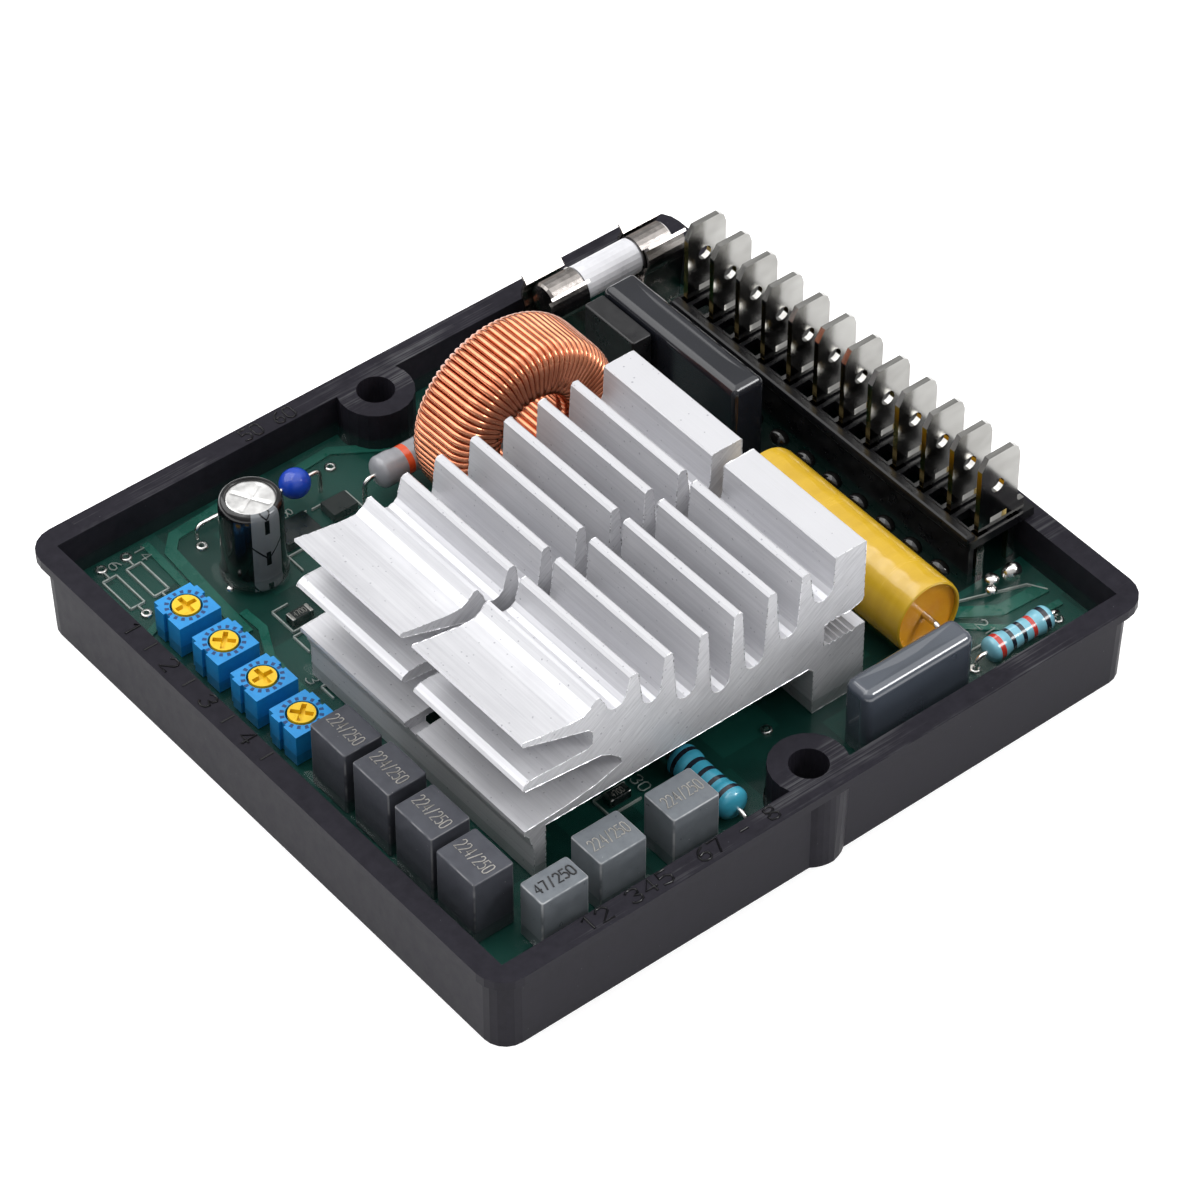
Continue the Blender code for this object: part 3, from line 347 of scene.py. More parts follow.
marks, marks_in, marks_out = new_group(
    "fine marks", [("Stretch", "NodeSocketVector", (400, 400, 400)),
                   ("Turn", "NodeSocketFloat", 0.0), ("Detail", "NodeSocketFloat", 4.0)],
    ["Tone"])
turned = add_node(marks, "ShaderNodeVectorRotate", {"Vector": object_place(marks),
                                                    "Angle": marks_in.outputs["Turn"]},
                  rotation_type="Y_AXIS")
stretched = add_node(marks, "ShaderNodeVectorMath",
                     {0: turned.outputs[0], 1: marks_in.outputs["Stretch"]},
                     operation="MULTIPLY")
noise = add_node(marks, "ShaderNodeTexNoise", {"Vector": stretched.outputs[0],
                                               "Detail": marks_in.outputs["Detail"]},
                 in_Scale=1.0, in_Roughness=0.65)
marks.links.new(remap(marks, noise.outputs["Fac"], 0.3, 0.7), marks_out.inputs["Tone"])

specks, specks_in, specks_out = new_group(
    "specks", [("Scale", "NodeSocketFloat", 600.0), ("Share", "NodeSocketFloat", 0.1)],
    ["Mask"])
spot = object_place(specks)
cells = add_node(specks, "ShaderNodeTexVoronoi", {"Vector": spot,
                                                  "Scale": specks_in.outputs["Scale"]})
drift = add_node(specks, "ShaderNodeTexNoise", {"Vector": spot}, in_Scale=180.0)
size = calc(specks, "MULTIPLY", drift.outputs["Fac"], specks_in.outputs["Share"])
inside = calc(specks, "LESS_THAN", cells.outputs["Distance"], size)
specks.links.new(inside, specks_out.inputs["Mask"])

# Painted highlight: a pale colour in patches along rounded edges, where the normal lies
# between the main directions.
painted_edge_highlight, highlight_in, highlight_out = new_group(
    "painted edge highlight", [("Patches", "NodeSocketFloat", 500.0)], ["Mask"])
normal = add_node(painted_edge_highlight, "ShaderNodeNewGeometry").outputs["Normal"]
size = add_node(painted_edge_highlight, "ShaderNodeVectorMath", {0: normal}, operation="ABSOLUTE")
side = axes(painted_edge_highlight, size.outputs[0])
most = calc(painted_edge_highlight, "MAXIMUM", side["X"], side["Y"])
most = calc(painted_edge_highlight, "MAXIMUM", most, side["Z"])
drift = add_node(painted_edge_highlight, "ShaderNodeTexNoise", {"Vector": object_place(painted_edge_highlight),
                                                    "Scale": highlight_in.outputs["Patches"]})
mask = calc(painted_edge_highlight, "MULTIPLY", remap(painted_edge_highlight, most, 0.97, 0.80),
            remap(painted_edge_highlight, drift.outputs["Fac"], 0.35, 0.60))
painted_edge_highlight.links.new(mask, highlight_out.inputs["Mask"])
print("groups:", len(bpy.data.node_groups))

# %% [markdown]
# ## Helpers for materials
#
# A finish is a Principled BSDF whose colour, roughness and normal are fed by the
# groups. Most finishes differ only in their numbers, so one function makes them.


# %% Helpers for materials
def new_material(name, roughness, metallic=0.0, **sockets):
    """A material whose Principled BSDF has its plain values set on its sockets."""
    material = bpy.data.materials.new(name)
    material.use_nodes = True
    tree = material.node_tree
    shader = tree.nodes["Principled BSDF"]
    shader.inputs["Roughness"].default_value = roughness
    shader.inputs["Metallic"].default_value = metallic
    for key, value in sockets.items():
        shader.inputs[key.replace("_", " ")].default_value = value
    return material, tree, shader


def mix_colours(tree, mask, first, second):
    """The first colour where the mask is 0 and the second where it is 1."""
    mix = tree.nodes.new("ShaderNodeMix")
    mix.data_type = "RGBA"
    tree.links.new(mask, mix.inputs[0])
    for slot, value in ((6, first), (7, second)):
        if isinstance(value, tuple):
            mix.inputs[slot].default_value = (*value, 1)
        else:
            tree.links.new(value, mix.inputs[slot])
    return mix.outputs[2]


def feed(tree, shader, output, socket="Base Color"):
    """Lead an output into a socket of the shader."""
    tree.links.new(output, shader.inputs[socket])


def fine_marks(tree, stretch, **settings):
    """The tone of the fine marks, stretched by one number or by one for each axis."""
    stretch = stretch if isinstance(stretch, tuple) else (stretch,) * 3
    made = add_node(tree, "ShaderNodeGroup", node_tree=marks, in_Stretch=stretch, **settings)
    return made.outputs["Tone"]


def emboss(tree, shader, height, strength, depth, normal=None):
    """Raise the shaded surface by a height, up to a depth, on top of a given normal."""
    bump = add_node(tree, "ShaderNodeBump", {"Height": height}, in_Strength=strength,
                    in_Distance=depth * MM)
    if normal:
        tree.links.new(normal, bump.inputs["Normal"])
    feed(tree, shader, bump.outputs["Normal"], "Normal")
    return bump.outputs["Normal"]


def marked(name, dark, light, roughness, stretch=400, metallic=0.0, depth=0.02,
           spread=0.12, speck=0.0, speck_colour=(0.5, 0.5, 0.5), highlight_colour=None, detail=4.0,
           **sockets):
    """A finish with fine marks: its colour runs from dark to light, its roughness
    spreads round the given value, and the marks have a depth in millimetres. The
    edge colour is a painted highlight, shown in patches along rounded edges."""
    material, tree, shader = new_material(name, roughness, metallic, **sockets)
    tone = fine_marks(tree, stretch, in_Detail=detail)
    colour = mix_colours(tree, tone, dark, light)
    if speck:
        dots = add_node(tree, "ShaderNodeGroup", node_tree=specks, in_Share=speck)
        colour = mix_colours(tree, dots.outputs["Mask"], colour, speck_colour)
    # Painted highlight along rounded edges, in patches.
    if highlight_colour:
        highlight_mask = add_node(tree, "ShaderNodeGroup", node_tree=painted_edge_highlight)
        colour = mix_colours(tree, highlight_mask.outputs["Mask"], colour, highlight_colour)
    feed(tree, shader, colour)
    rough = remap(tree, tone, low=max(roughness - spread, 0.02), high=roughness + spread)
    feed(tree, shader, rough, "Roughness")
    emboss(tree, shader, tone, 0.6, depth)
    return material


def dress(material, *names):
    """Give a material to solids of the frame or to new pieces."""
    for name in names:
        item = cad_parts[name] if isinstance(name, str) else name
        item.data.materials.clear()
        item.data.materials.append(material)
        item.active_material = material


floor_mesh = bpy.data.meshes.new("floor")
floor_mesh.from_pydata([(-3, -3, 0), (3, -3, 0), (3, 3, 0), (-3, 3, 0)], [], [(0, 1, 2, 3)])
floor = bpy.data.objects.new("floor", floor_mesh)
bpy.context.scene.collection.objects.link(floor)
pale_floor = marked("pale_floor", (0.74, 0.74, 0.74), (0.76, 0.76, 0.76), 0.7, 30,
                    depth=0.001, spread=0.02, Emission_Strength=0.45,
                    Emission_Color=(1, 1, 1, 1), Specular_IOR_Level=0.0)
dress(pale_floor, floor)
print("floor dressed")

# %% [markdown]
# ## The tray
#
# The tray is a black moulding. Its rim and bosses were dressed level after the
# resin had set, which left thin grey streaks along X. The faces that look up get the
# streaks, apart from the left rim; the rest is satin moulded black with fine scuffs.
# A mask from the normal was chosen, so the tray stays one solid with one finish.

# %% The tray
tray = marked("black_tray", (0.0120, 0.0112, 0.0155), (0.0175, 0.0163, 0.0220), 0.40,
              (700, 700, 500), depth=0.006, spread=0.06, speck=0.06,
              speck_colour=(0.07, 0.07, 0.08), Specular_IOR_Level=0.07)
tree, shader = tray.node_tree, tray.node_tree.nodes["Principled BSDF"]
plain = shader.inputs["Base Color"].links[0].from_socket
streaks = calc(tree, "MULTIPLY", fine_marks(tree, (35, 2600, 35), in_Detail=3.0),
               fine_marks(tree, (60, 110, 60)))
level = calc(tree, "GREATER_THAN", facing(tree)["Z"], 0.95)
right = calc(tree, "GREATER_THAN", axes(tree, object_place(tree))["X"], -44 * MM)
level = calc(tree, "MULTIPLY", level, right)
streaked = calc(tree, "MULTIPLY", remap(tree, streaks, 0.30, 0.75), level)
colour = mix_colours(tree, streaked, plain, (0.060, 0.060, 0.065))
feed(tree, shader, colour)
dress(tray, "case")
strip_black = marked("strip_black", (0.003, 0.003, 0.004), (0.006, 0.006, 0.007), 0.30,
                     500, depth=0.003, spread=0.05, detail=2.0,
                     Specular_IOR_Level=0.25)
dress(strip_black, "terminal_strip")
potting = marked("potting_black", (0.006, 0.006, 0.007), (0.012, 0.012, 0.013), 0.2)
dress(potting, "potting_base")
print("tray dressed")

# %% [markdown]
# ## Plain numbers
#
# Moulded parts carry small numbers. A digit is a stroke through a few points of a
# grid four wide and six high, and each stroke becomes a thin round line half sunk
# in its surface. On the rim they are raised in the moulding, one by each trimmer.
# Real strokes catch the light and go into the exported mesh, as a picture would not.

# %% Plain numbers
DIGITS = {
    "0": [(1, 0), (0, 1.2), (0, 4.8), (1, 6), (3, 6), (4, 4.8), (4, 1.2), (3, 0), (1, 0)],
    "1": [(0.8, 4.8), (2.4, 6), (2.4, 0)],
    "2": [(0, 4.8), (1, 6), (3, 6), (4, 4.8), (3.8, 3.6), (0, 0), (4, 0)],
    "3": [(0, 5.2), (1, 6), (3, 6), (4, 5), (3.6, 3.6), (2, 3.1), (4, 2.2), (3.6, 0.6),
          (2.4, 0), (0.8, 0.1), (0, 1)],
    "4": [(3, 0), (3, 6), (0, 2), (4.2, 2)],
    "5": [(3.8, 6), (0.5, 6), (0.2, 3.4), (2.4, 3.8), (4, 2.6), (3.8, 0.9), (2.6, 0),
          (0, 0.5)],
    "6": [(3.4, 6), (1.2, 4.8), (0, 2.6), (0.2, 0.9), (1.4, 0), (3, 0), (4, 1.2), (3.8, 2.8),
          (2.4, 3.4), (0.6, 2.8)],
    "7": [(0, 6), (4, 6), (1.6, 0)],
    "8": [(2, 3.2), (0.4, 4), (0.4, 5.4), (2, 6), (3.6, 5.4), (3.6, 4), (2, 3.2), (0, 2),
          (0.3, 0.5), (2, 0), (3.7, 0.5), (4, 2), (2, 3.2)],
    "-": [(0.4, 3), (3.6, 3)], "/": [(0.6, -0.4), (3.4, 6.4)],
}
SIGN_WIDTH, SIGN_HEIGHT, SIGN_PITCH = 4, 6, 5.6


def number_lines(text, middle, run, rise, long, high, z, radius):
    """The strokes of a row of signs whose middle is given. A grid point (x, y) of
    sign k lies at run * long * (x + pitch * k) / whole length, measured from the
    row's middle, plus rise * high * y / sign height."""
    whole = SIGN_PITCH * (len(text) - 1) + SIGN_WIDTH
    grids = []
    for k, sign in enumerate(text):
        if sign in DIGITS:
            grid = np.array(DIGITS[sign], float) + [SIGN_PITCH * k, 0]
            flat = (np.array(middle) + np.outer((grid[:, 0] / whole - 0.5) * long, run)
                    + np.outer((grid[:, 1] / SIGN_HEIGHT - 0.5) * high, rise))
            grids.append(tube_points(np.c_[flat, np.full(len(flat), z)], radius, (0, 0, 1), 6))
    return grids


RIGHT_UP, LEFT_UP = np.array([1.0, 0]), np.array([0, 1.0])  # X and Y as the camera sees them
RIM_LEFT, RIM_FRONT, RIM_BACK = -49.05, -45.5, 45.7
TRIMMER_FIRST_Y, TRIMMER_PITCH = 26.6, 7.85
raised = []
for k in range(4):
    y = TRIMMER_FIRST_Y - TRIMMER_PITCH * k
    raised += number_lines(str(k + 1), (RIM_LEFT, y), -LEFT_UP, RIGHT_UP, 1.5, 2.2, RIM_TOP,
                           0.17)
    raised += number_lines("-", (RIM_LEFT, y - 3.9), RIGHT_UP, LEFT_UP, 2.4, 2.0, RIM_TOP,
                           0.15)
for row, x, y, long, high, radius in (("12 345", -30.5, RIM_FRONT, 13.0, 2.1, 0.17),
                                      ("67 - 89", -12.8, RIM_FRONT, 14.0, 2.1, 0.17),
                                      ("50 60", -14.5, RIM_BACK, 8.0, 2.0, 0.15)):
    raised += number_lines(row, (x, y), RIGHT_UP, LEFT_UP, long, high, RIM_TOP, radius)
numbers_black = marked("raised_black", (0.003, 0.003, 0.004), (0.007, 0.007, 0.008), 0.25,
                       depth=0.003, Specular_IOR_Level=0.3)
dress(numbers_black, place(join_grids("rim_numbers", raised), "case"))
print("raised strokes:", len(raised))

# %% [markdown]
# ## The heatsink
#
# The extrusion shows fine lines along its length, drawn by the die, and its sawn
# ends are rougher. The normal tells the two apart: where a face looks along Y it
# is a cut, so its marks run aslant, and elsewhere they run along Y. The crests of
# the fins are a little plainer than the rest.

# %% The heatsink
FIN_CREST = 31.55
aluminium, tree, shader = new_material("drawn_aluminium", 0.5, 0.48)
drawn = fine_marks(tree, (2400, 22, 2400), in_Detail=2.0)
sawn = fine_marks(tree, (250, 60, 3200), in_Turn=0.62)
blotch = fine_marks(tree, (220, 90, 220), in_Detail=5.0)
nicks = add_node(tree, "ShaderNodeGroup", node_tree=specks, in_Scale=900.0, in_Share=0.20)
nicks = nicks.outputs["Mask"]
is_cut = calc(tree, "GREATER_THAN", calc(tree, "ABSOLUTE", facing(tree)["Y"]), 0.8)
tone = add_node(tree, "ShaderNodeMix", {0: is_cut, 2: drawn, 3: sawn}).outputs[0]
plain = mix_colours(tree, blotch, (0.535, 0.535, 0.56), (0.62, 0.62, 0.64))
lined = mix_colours(tree, tone, (0.45, 0.45, 0.475), (0.67, 0.67, 0.69))
lined = mix_colours(tree, remap(tree, is_cut, low=0.35, high=0.85), plain, lined)
nicked = mix_colours(tree, nicks, lined, (0.38, 0.38, 0.41))
crested = mix_colours(tree, nicks, (0.54, 0.54, 0.56), (0.34, 0.34, 0.37))
crest = calc(tree, "GREATER_THAN", axes(tree, object_place(tree))["Z"], FIN_CREST * MM)
feed(tree, shader, mix_colours(tree, crest, nicked, crested))
feed(tree, shader, remap(tree, blotch, low=0.42, high=0.55), "Roughness")
normal = emboss(tree, shader, tone, 0.5, 0.016)
emboss(tree, shader, nicks, 0.5, -0.03, normal)
dress(aluminium, "heatsink")

# %% [markdown]
# ## Burrs on the sawn edges
#
# A saw rolls a little metal over every edge it leaves. The cuts lie in four planes
# across Y, so the sharp edges in those planes are picked from a merged copy of the
# extrusion, split into short steps, and each step gets a thin spindle whose radius
# follows a sum of sines of its place, so that neighbours meet and the bead is uneven.
# A bump in the shader could not show there, because an edge has no width.

# %% Burrs on the sawn edges
SAW_PLANES = [-32.0, -11.5, -9.2, 11.3]
SHARP, BURR_STEP, BURR_SIDES = 0.7, 0.8, 5
copy = bmesh.new()
copy.from_mesh(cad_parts["heatsink"].data)
bmesh.ops.remove_doubles(copy, verts=copy.verts, dist=1e-6)
ends = np.array([[v.co[:] for v in edge.verts] for edge in copy.edges
                 if len(edge.link_faces) == 2 and edge.calc_face_angle() > SHARP]) / MM
copy.free()
in_cut = (abs(ends[:, :, 1][:, :, None] - SAW_PLANES) < 0.02).all(axis=1)
ends = ends[in_cut.any(axis=1)]
long = np.linalg.norm(ends[:, 1] - ends[:, 0], axis=1)
steps = np.maximum(np.ceil(long / BURR_STEP), 1).astype(int)
which = np.repeat(np.arange(len(ends)), steps)
order = np.arange(len(which)) - np.repeat(np.cumsum(steps) - steps, steps)
share = np.stack([order, order + 1], axis=-1) / steps[which][:, None]
pair = ends[which, 0][:, None] + (ends[which, 1] - ends[which, 0])[:, None] * share[..., None]


def burr_radius(spot):
    """0.045 plus three sines of the place, never under 0.015 mm."""
    ripple = (np.sin(spot @ [5.1, 0.7, 3.3]) + np.sin(spot @ [2.3, 0.4, -4.7])
              + np.sin(spot @ [11.0, 1.1, 7.9]))
    return np.maximum(0.045 + 0.020 * ripple, 0.015)


along = pair[:, 1] - pair[:, 0]
along /= np.linalg.norm(along, axis=1, keepdims=True)
side = np.cross(along, [0, 1.0, 0])
turn = np.arange(BURR_SIDES) * 2 * np.pi / BURR_SIDES
ring = np.cos(turn)[:, None] * side[:, None] + np.sin(turn)[:, None] * [0, 1.0, 0]
rings = pair[:, :, None] + burr_radius(pair)[..., None, None] * ring[:, None]
burrs = np.concatenate([np.repeat(pair[:, :1, None], BURR_SIDES, axis=2), rings,
                        np.repeat(pair[:, 1:, None], BURR_SIDES, axis=2)], axis=1)
first = np.arange(len(burrs))[:, None, None] * 4 * BURR_SIDES
faces = (grid_faces(4, BURR_SIDES)[None] + first).reshape(-1, 4)
burr = make_mesh("sawn_burrs", burrs, faces, smooth=60)
dress(marked("burr_metal", (0.55, 0.55, 0.57), (0.92, 0.92, 0.94), 0.30, 1500,
             metallic=0.6, depth=0.01), place(burr, "aluminium"))
print("burr steps:", len(pair))

# %% [markdown]
# ## The wound choke
#
# A toroid choke is one copper wire passed again and again through a ring. Its path
# is a point that runs round the ring's cross section while it creeps along the
# ring: radius and width come from a rounded rectangle, the turn angle from the
# share of the whole winding. In the eye the turns crowd, so every second turn lies
# nearer the middle. A true helix was chosen over grooves in a ring, because light
# passes between the turns and each carries its own highlight.

# %% The wound choke
CHOKE = np.array([5.1, 20.0, 21.6])
RING_OUTER, RING_INNER, RING_WIDTH, RING_CORNER = 13.1, 5.2, 10.8, 2.2
TURNS, STEPS, WIRE = 76, 44, 0.47
EYE_FROM, EYE_REACH, EYE_LIFT = 8.6, 2.0, 0.75  # where turns crowd, and by how much
outline = rounded_outline((RING_OUTER - RING_INNER) / 2 - WIRE, RING_WIDTH / 2 - WIRE,
                          RING_CORNER, 10)
outline = np.concatenate([outline, outline[:1]])
run = np.concatenate([[0], np.cumsum(np.linalg.norm(np.diff(outline, axis=0), axis=1))])
share = np.linspace(0, TURNS, TURNS * STEPS + 1)
distance = (share % 1.0) * run[-1]
radial = np.interp(distance, run, outline[:, 0]) + (RING_OUTER + RING_INNER) / 2
width = np.interp(distance, run, outline[:, 1])
second = np.floor(share + 0.5) % 2
inner = np.clip((EYE_FROM - radial) / EYE_REACH, 0, 1)
radial = radial + EYE_LIFT * inner * second
turn = np.radians(-75 + 330 * share / TURNS)
path = CHOKE + np.stack([radial * np.cos(turn), width, radial * np.sin(turn)], axis=-1)
middle = CHOKE + 9.1 * np.stack([np.cos(turn), 0 * turn, np.sin(turn)], axis=-1)
winding = tube("wound_wire", path, WIRE, path - middle, sides=8)
copper = marked("enamelled_copper", (0.51, 0.180, 0.092), (0.68, 0.268, 0.150), 0.24,
                300, metallic=1.0, depth=0.003, spread=0.04,
                Coat_Weight=0.12, Coat_Roughness=0.12)
dress(copper, place(winding, "copper", "toroid_winding"))
dress(marked("ring_core", (0.012, 0.012, 0.012), (0.03, 0.03, 0.03), 0.6), "toroid_core")
print("wire points:", len(path))

# %% [markdown]
# ## Yellow film capacitor
#
# Film is wound into an oval roll, wrapped in yellow tape and closed with orange
# resin at both ends. The wrap is an oval carried along Y, a little smaller at the
# lips, with the resin set back inside them. A loft of ovals was chosen, so that
# the lips and the dents of the wrap belong to one closed surface.

# %% Yellow film capacitor
OVAL_X, OVAL_Z, OVAL_Y = 27.1, 13.3, (-33.0, -2.0)
OVAL_HALF, OVAL_LEAN = (5.1, 5.7), math.radians(20)


def oval_rows(stations):
    """Ovals along Y: each station (y, inset) gives half widths less the inset, an
    ellipse turned by the lean about the capacitor's axis. A row of shallow dents,
    each falling off as exp(-distance squared), lies along its upper side."""
    angle = once_round(72)
    y, inset = np.array(stations, float).T[:, :, None]
    dents = np.arange(-29.5, -4.0, 2.6)
    dent = np.exp(-((y[..., None] - dents) / 0.75) ** 2).sum(axis=-1)
    inset = inset + 0.16 * dent * np.exp(-((angle - 1.55) / 0.10) ** 2)
    u = np.maximum(OVAL_HALF[0] - inset, 0) * np.cos(angle)
    v = np.maximum(OVAL_HALF[1] - inset, 0) * np.sin(angle)
    x = OVAL_X + u * math.cos(OVAL_LEAN) - v * math.sin(OVAL_LEAN)
    z = OVAL_Z + u * math.sin(OVAL_LEAN) + v * math.cos(OVAL_LEAN)
    return np.stack([x, np.broadcast_to(y, x.shape), z], axis=-1)


y0, y1 = OVAL_Y
lip = [(y0 + 1.5, 6), (y0 + 1.5, 0.50), (y0 + 0.1, 0.5), (y0, 0.35), (y0 + 0.12, 0.12),
       (y0 + 0.6, 0.0)]
rest = [(y0 + y1 - y, inset) for y, inset in lip[::-1]]
middle_rows = [(y, 0.0) for y in np.linspace(y0 + 2, y1 - 2, 110)]
rows = oval_rows(lip + middle_rows + rest)
wrap = make_mesh("yellow_wrap", rows, grid_faces(*rows.shape[:2]))
yellow = marked("yellow_tape", (0.47, 0.285, 0.012), (0.55, 0.345, 0.018), 0.24, (60, 400, 60),
                depth=0.012, spread=0.05, Coat_Weight=0.4, Coat_Roughness=0.08)
dress(yellow, place(wrap, "yellow", "axial_capacitor"))
orange = marked("orange_resin", (0.70, 0.27, 0.015), (0.78, 0.36, 0.02), 0.18, 300,
                depth=0.03)
for label, edge, side in (("front", y0, 1), ("rear", y1, -1)):
    face = [(edge + side * 1.0, 6), (edge + side * 0.95, 3.0), (edge + side * 0.75, 1.2),
            (edge + side * 0.6, 0.52), (edge + side * 1.6, 0.52), (edge + side * 1.6, 6)]
    rows = oval_rows(face)
    end = make_mesh(f"orange_end_{label}", rows, grid_faces(*rows.shape[:2]))
    dress(orange, place(end, "yellow"))
print("yellow wrap length:", y1 - y0)

# %% [markdown]
# ## Tinned leads
#
# Bent leads are round wire along a short path that turns down to the board. A tube
# worked out from the path was chosen over a curve object, so every part shares it.

# %% Tinned leads
tin = marked("tinned_wire", (0.55, 0.54, 0.52), (0.80, 0.79, 0.77), 0.22, 700,
             metallic=1.0, depth=0.01)
LEAD_FOOT = RESIN_TOP - 1.4


def bent_lead(name, start, along, reach, radius):
    """A wire from start that runs along a direction, bends on a quarter circle of
    radius 1 mm and drops to the board."""
    start, along = np.array(start, float), np.array(along, float)
    turn = np.linspace(0, np.pi / 2, 8)[:, None]
    bend_at = start + along * (reach - 1)
    bend = bend_at + along * np.sin(turn) + np.array([0, 0, -1]) * (1 - np.cos(turn))
    end = bend[-1:] * [1, 1, 0] + [0, 0, LEAD_FOOT]
    path = np.concatenate([start[None], bend, end])
    lead = tube(name, path, radius, np.cross(along, [0, 0, 1]))
    dress(tin, place(lead, "tin"))
    return lead


bent_lead("yellow_lead_front", (OVAL_X, y0 + 1.2, OVAL_Z), (0, -1, 0), 3.2, 0.4)
lead = bent_lead("yellow_lead_rear", (OVAL_X, y1 - 1.2, OVAL_Z), (0, 1, 0), 3.2, 0.4)
print("points on a lead:", len(lead.data.vertices))

# %% [markdown]
# ## Resistors and the bead
#
# A metal film resistor is a ceramic rod with a cap pressed on each end, dipped in
# lacquer: a turned profile that swells at both ends. Its colour bands are bands of
# the coordinate along its axis, which stay sharp however near the camera comes.


# %% Resistors and the bead
def banded(name, base, bands, axis, start, length):
    """Lacquer with coloured bands. bands lists (middle, width, colour) as shares of
    the length; each band is where the share lies within half a width of the middle."""
    material, tree, shader = new_material(name, 0.25, Coat_Weight=0.4, Coat_Roughness=0.05)
    along = axes(tree, object_place(tree))[axis]
    share = remap(tree, along, start * MM, (start + length) * MM, clamp=False)
    tone = fine_marks(tree, 500)
    colour = mix_colours(tree, tone, tuple(0.85 * c for c in base), base)
    for middle, width, tint in bands:
        away = calc(tree, "ABSOLUTE", calc(tree, "SUBTRACT", share, middle))
        colour = mix_colours(tree, calc(tree, "LESS_THAN", away, width / 2), colour, tint)
    feed(tree, shader, colour)
    return material


def resistor(name, node, slot, centre, axis, length, radius, lacquer, bands, swell=0.12):
    """A resistor body: the radius over its two caps and radius * (1 - swell) between
    them, closed by a quarter round at each end, and a bent lead on either side."""
    centre, way = np.array(centre), np.eye(3)["XYZ".index(axis)]
    material = banded(name.replace("rod", "lacquer"), lacquer, bands, axis,
                      centre @ way - length / 2, length)
    share = np.linspace(0, 1, 60)
    from_end = np.minimum(share, 1 - share) * length
    cap = 1 / (1 + np.exp((from_end - 0.26 * length) / 0.18))
    size = radius * (1 - swell * (1 - cap))
    rounding = np.sqrt(np.clip(1 - (1 - np.minimum(from_end / (0.55 * radius), 1)) ** 2, 0, 1))
    profile = np.stack([size * rounding, (share - 0.5) * length], axis=-1)
    dress(material, place(lathe(name, profile, centre, axis), slot, node))
    for label, side in (("a", -1), ("b", 1)):
        bent_lead(f"{name}_lead_{label}", centre + side * way * (length / 2 - 0.3), side * way,
                  1.8, 0.32)


DARK_BAND, RED_BAND = (0.010, 0.012, 0.020), (0.42, 0.03, 0.02)
resistor("blue_rod", "blue_resistor", "blue_resistor", (-9.1, -34.4, 9.75), "Y", 11.6, 2.2,
         (0.045, 0.30, 0.42), [(m, 0.055, DARK_BAND) for m in (0.17, 0.36, 0.52, 0.68, 0.84)])
resistor("pale_blue_rod", "light_blue_resistor", "blue_resistor", (36.65, -38.9, 9.25), "X",
         10.5, 1.7, (0.17, 0.42, 0.52),
         [(0.15, 0.07, RED_BAND), (0.33, 0.06, DARK_BAND), (0.50, 0.06, DARK_BAND),
          (0.66, 0.06, RED_BAND), (0.85, 0.07, DARK_BAND)])
resistor("grey_rod", "grey_resistor", "grey_resistor", (-2.65, 30.7, 11.95), "X", 12.9, 2.2,
         (0.27, 0.275, 0.295), [(0.36, 0.075, (0.62, 0.075, 0.02)), (0.62, 0.06, DARK_BAND)],
         swell=0.08)
angle = np.linspace(0, np.pi, 24)
BEAD = np.array([-17.5, 36.0, 11.8])
bead = lathe("blue_bead", np.c_[2.0 * np.sin(angle), 2.1 * np.cos(angle)], BEAD, "X")
dress(marked("bead_enamel", (0.008, 0.035, 0.30), (0.015, 0.06, 0.42), 0.15, 300,
             depth=0.02), place(bead, "bead", "bead_capacitor"))
for label, side in (("a", -1), ("b", 1)):
    bent_lead(f"bead_lead_{label}", BEAD + [side * 1.7, 0, 0], (side, 0, 0), 2.2, 0.3)
print("points on the bead:", len(bead.data.vertices))

# %% [markdown]
# ## Electrolytic capacitor
#
# A can in a shrunk black sleeve: the sleeve curls over the top edge and flares at
# the foot. Its polarity stripe is painted where the angle from the stripe's middle
# is small, with dashes and arrows where the height wraps round. The shader was
# chosen for them, because paint on a shrunk film has no thickness to show.

# %% Electrolytic capacitor
CAN, CAN_FOOT = (-28.2, 30.2, 0.0), 4.2
sleeve_profile = [(0, 8.0), (4.35, 8.0), (4.4, 8.4), (4.15, 9.0), (4.05, 9.8), (4.1, 10.6),
                  (4.1, 18.6), (4.05, 19.3), (3.9, 19.9), (3.6, 20.2), (3.25, 20.25),
                  (3.2, 20.1), (3.2, 19.8), (0, 19.8)]
sleeve = lathe("can_sleeve", sleeve_profile, CAN)
sleeve_film, tree, shader = new_material("black_sleeve", 0.18, Coat_Weight=0.35,
                                         Coat_Roughness=0.08, Specular_IOR_Level=0.3)
moved = add_node(tree, "ShaderNodeMapping", {"Vector": object_place(tree)},
                 in_Location=(-CAN[0] * MM, -CAN[1] * MM, 0))
spot = axes(tree, moved.outputs[0])
around = calc(tree, "ARCTAN2", spot["Y"], spot["X"])
away = calc(tree, "ABSOLUTE", calc(tree, "SUBTRACT", around, math.radians(-97)))
stripe = calc(tree, "LESS_THAN", away, 0.50)
dash = calc(tree, "GREATER_THAN", calc(tree, "PINGPONG", spot["Z"], 2.6 * MM), 1.5 * MM)
dash = calc(tree, "MULTIPLY", calc(tree, "LESS_THAN", away, 0.08), dash)
slanted = calc(tree, "SUBTRACT", spot["Z"], calc(tree, "MULTIPLY", away, 4.6 * MM))
arrow = calc(tree, "LESS_THAN", calc(tree, "PINGPONG", slanted, 3.24 * MM), 0.16 * MM)
mark = calc(tree, "MAXIMUM", dash, arrow)
colour = mix_colours(tree, mark, (0.12, 0.13, 0.14), (0.003, 0.003, 0.004))
colour = mix_colours(tree, stripe, (0.003, 0.003, 0.0035), colour)
feed(tree, shader, colour)
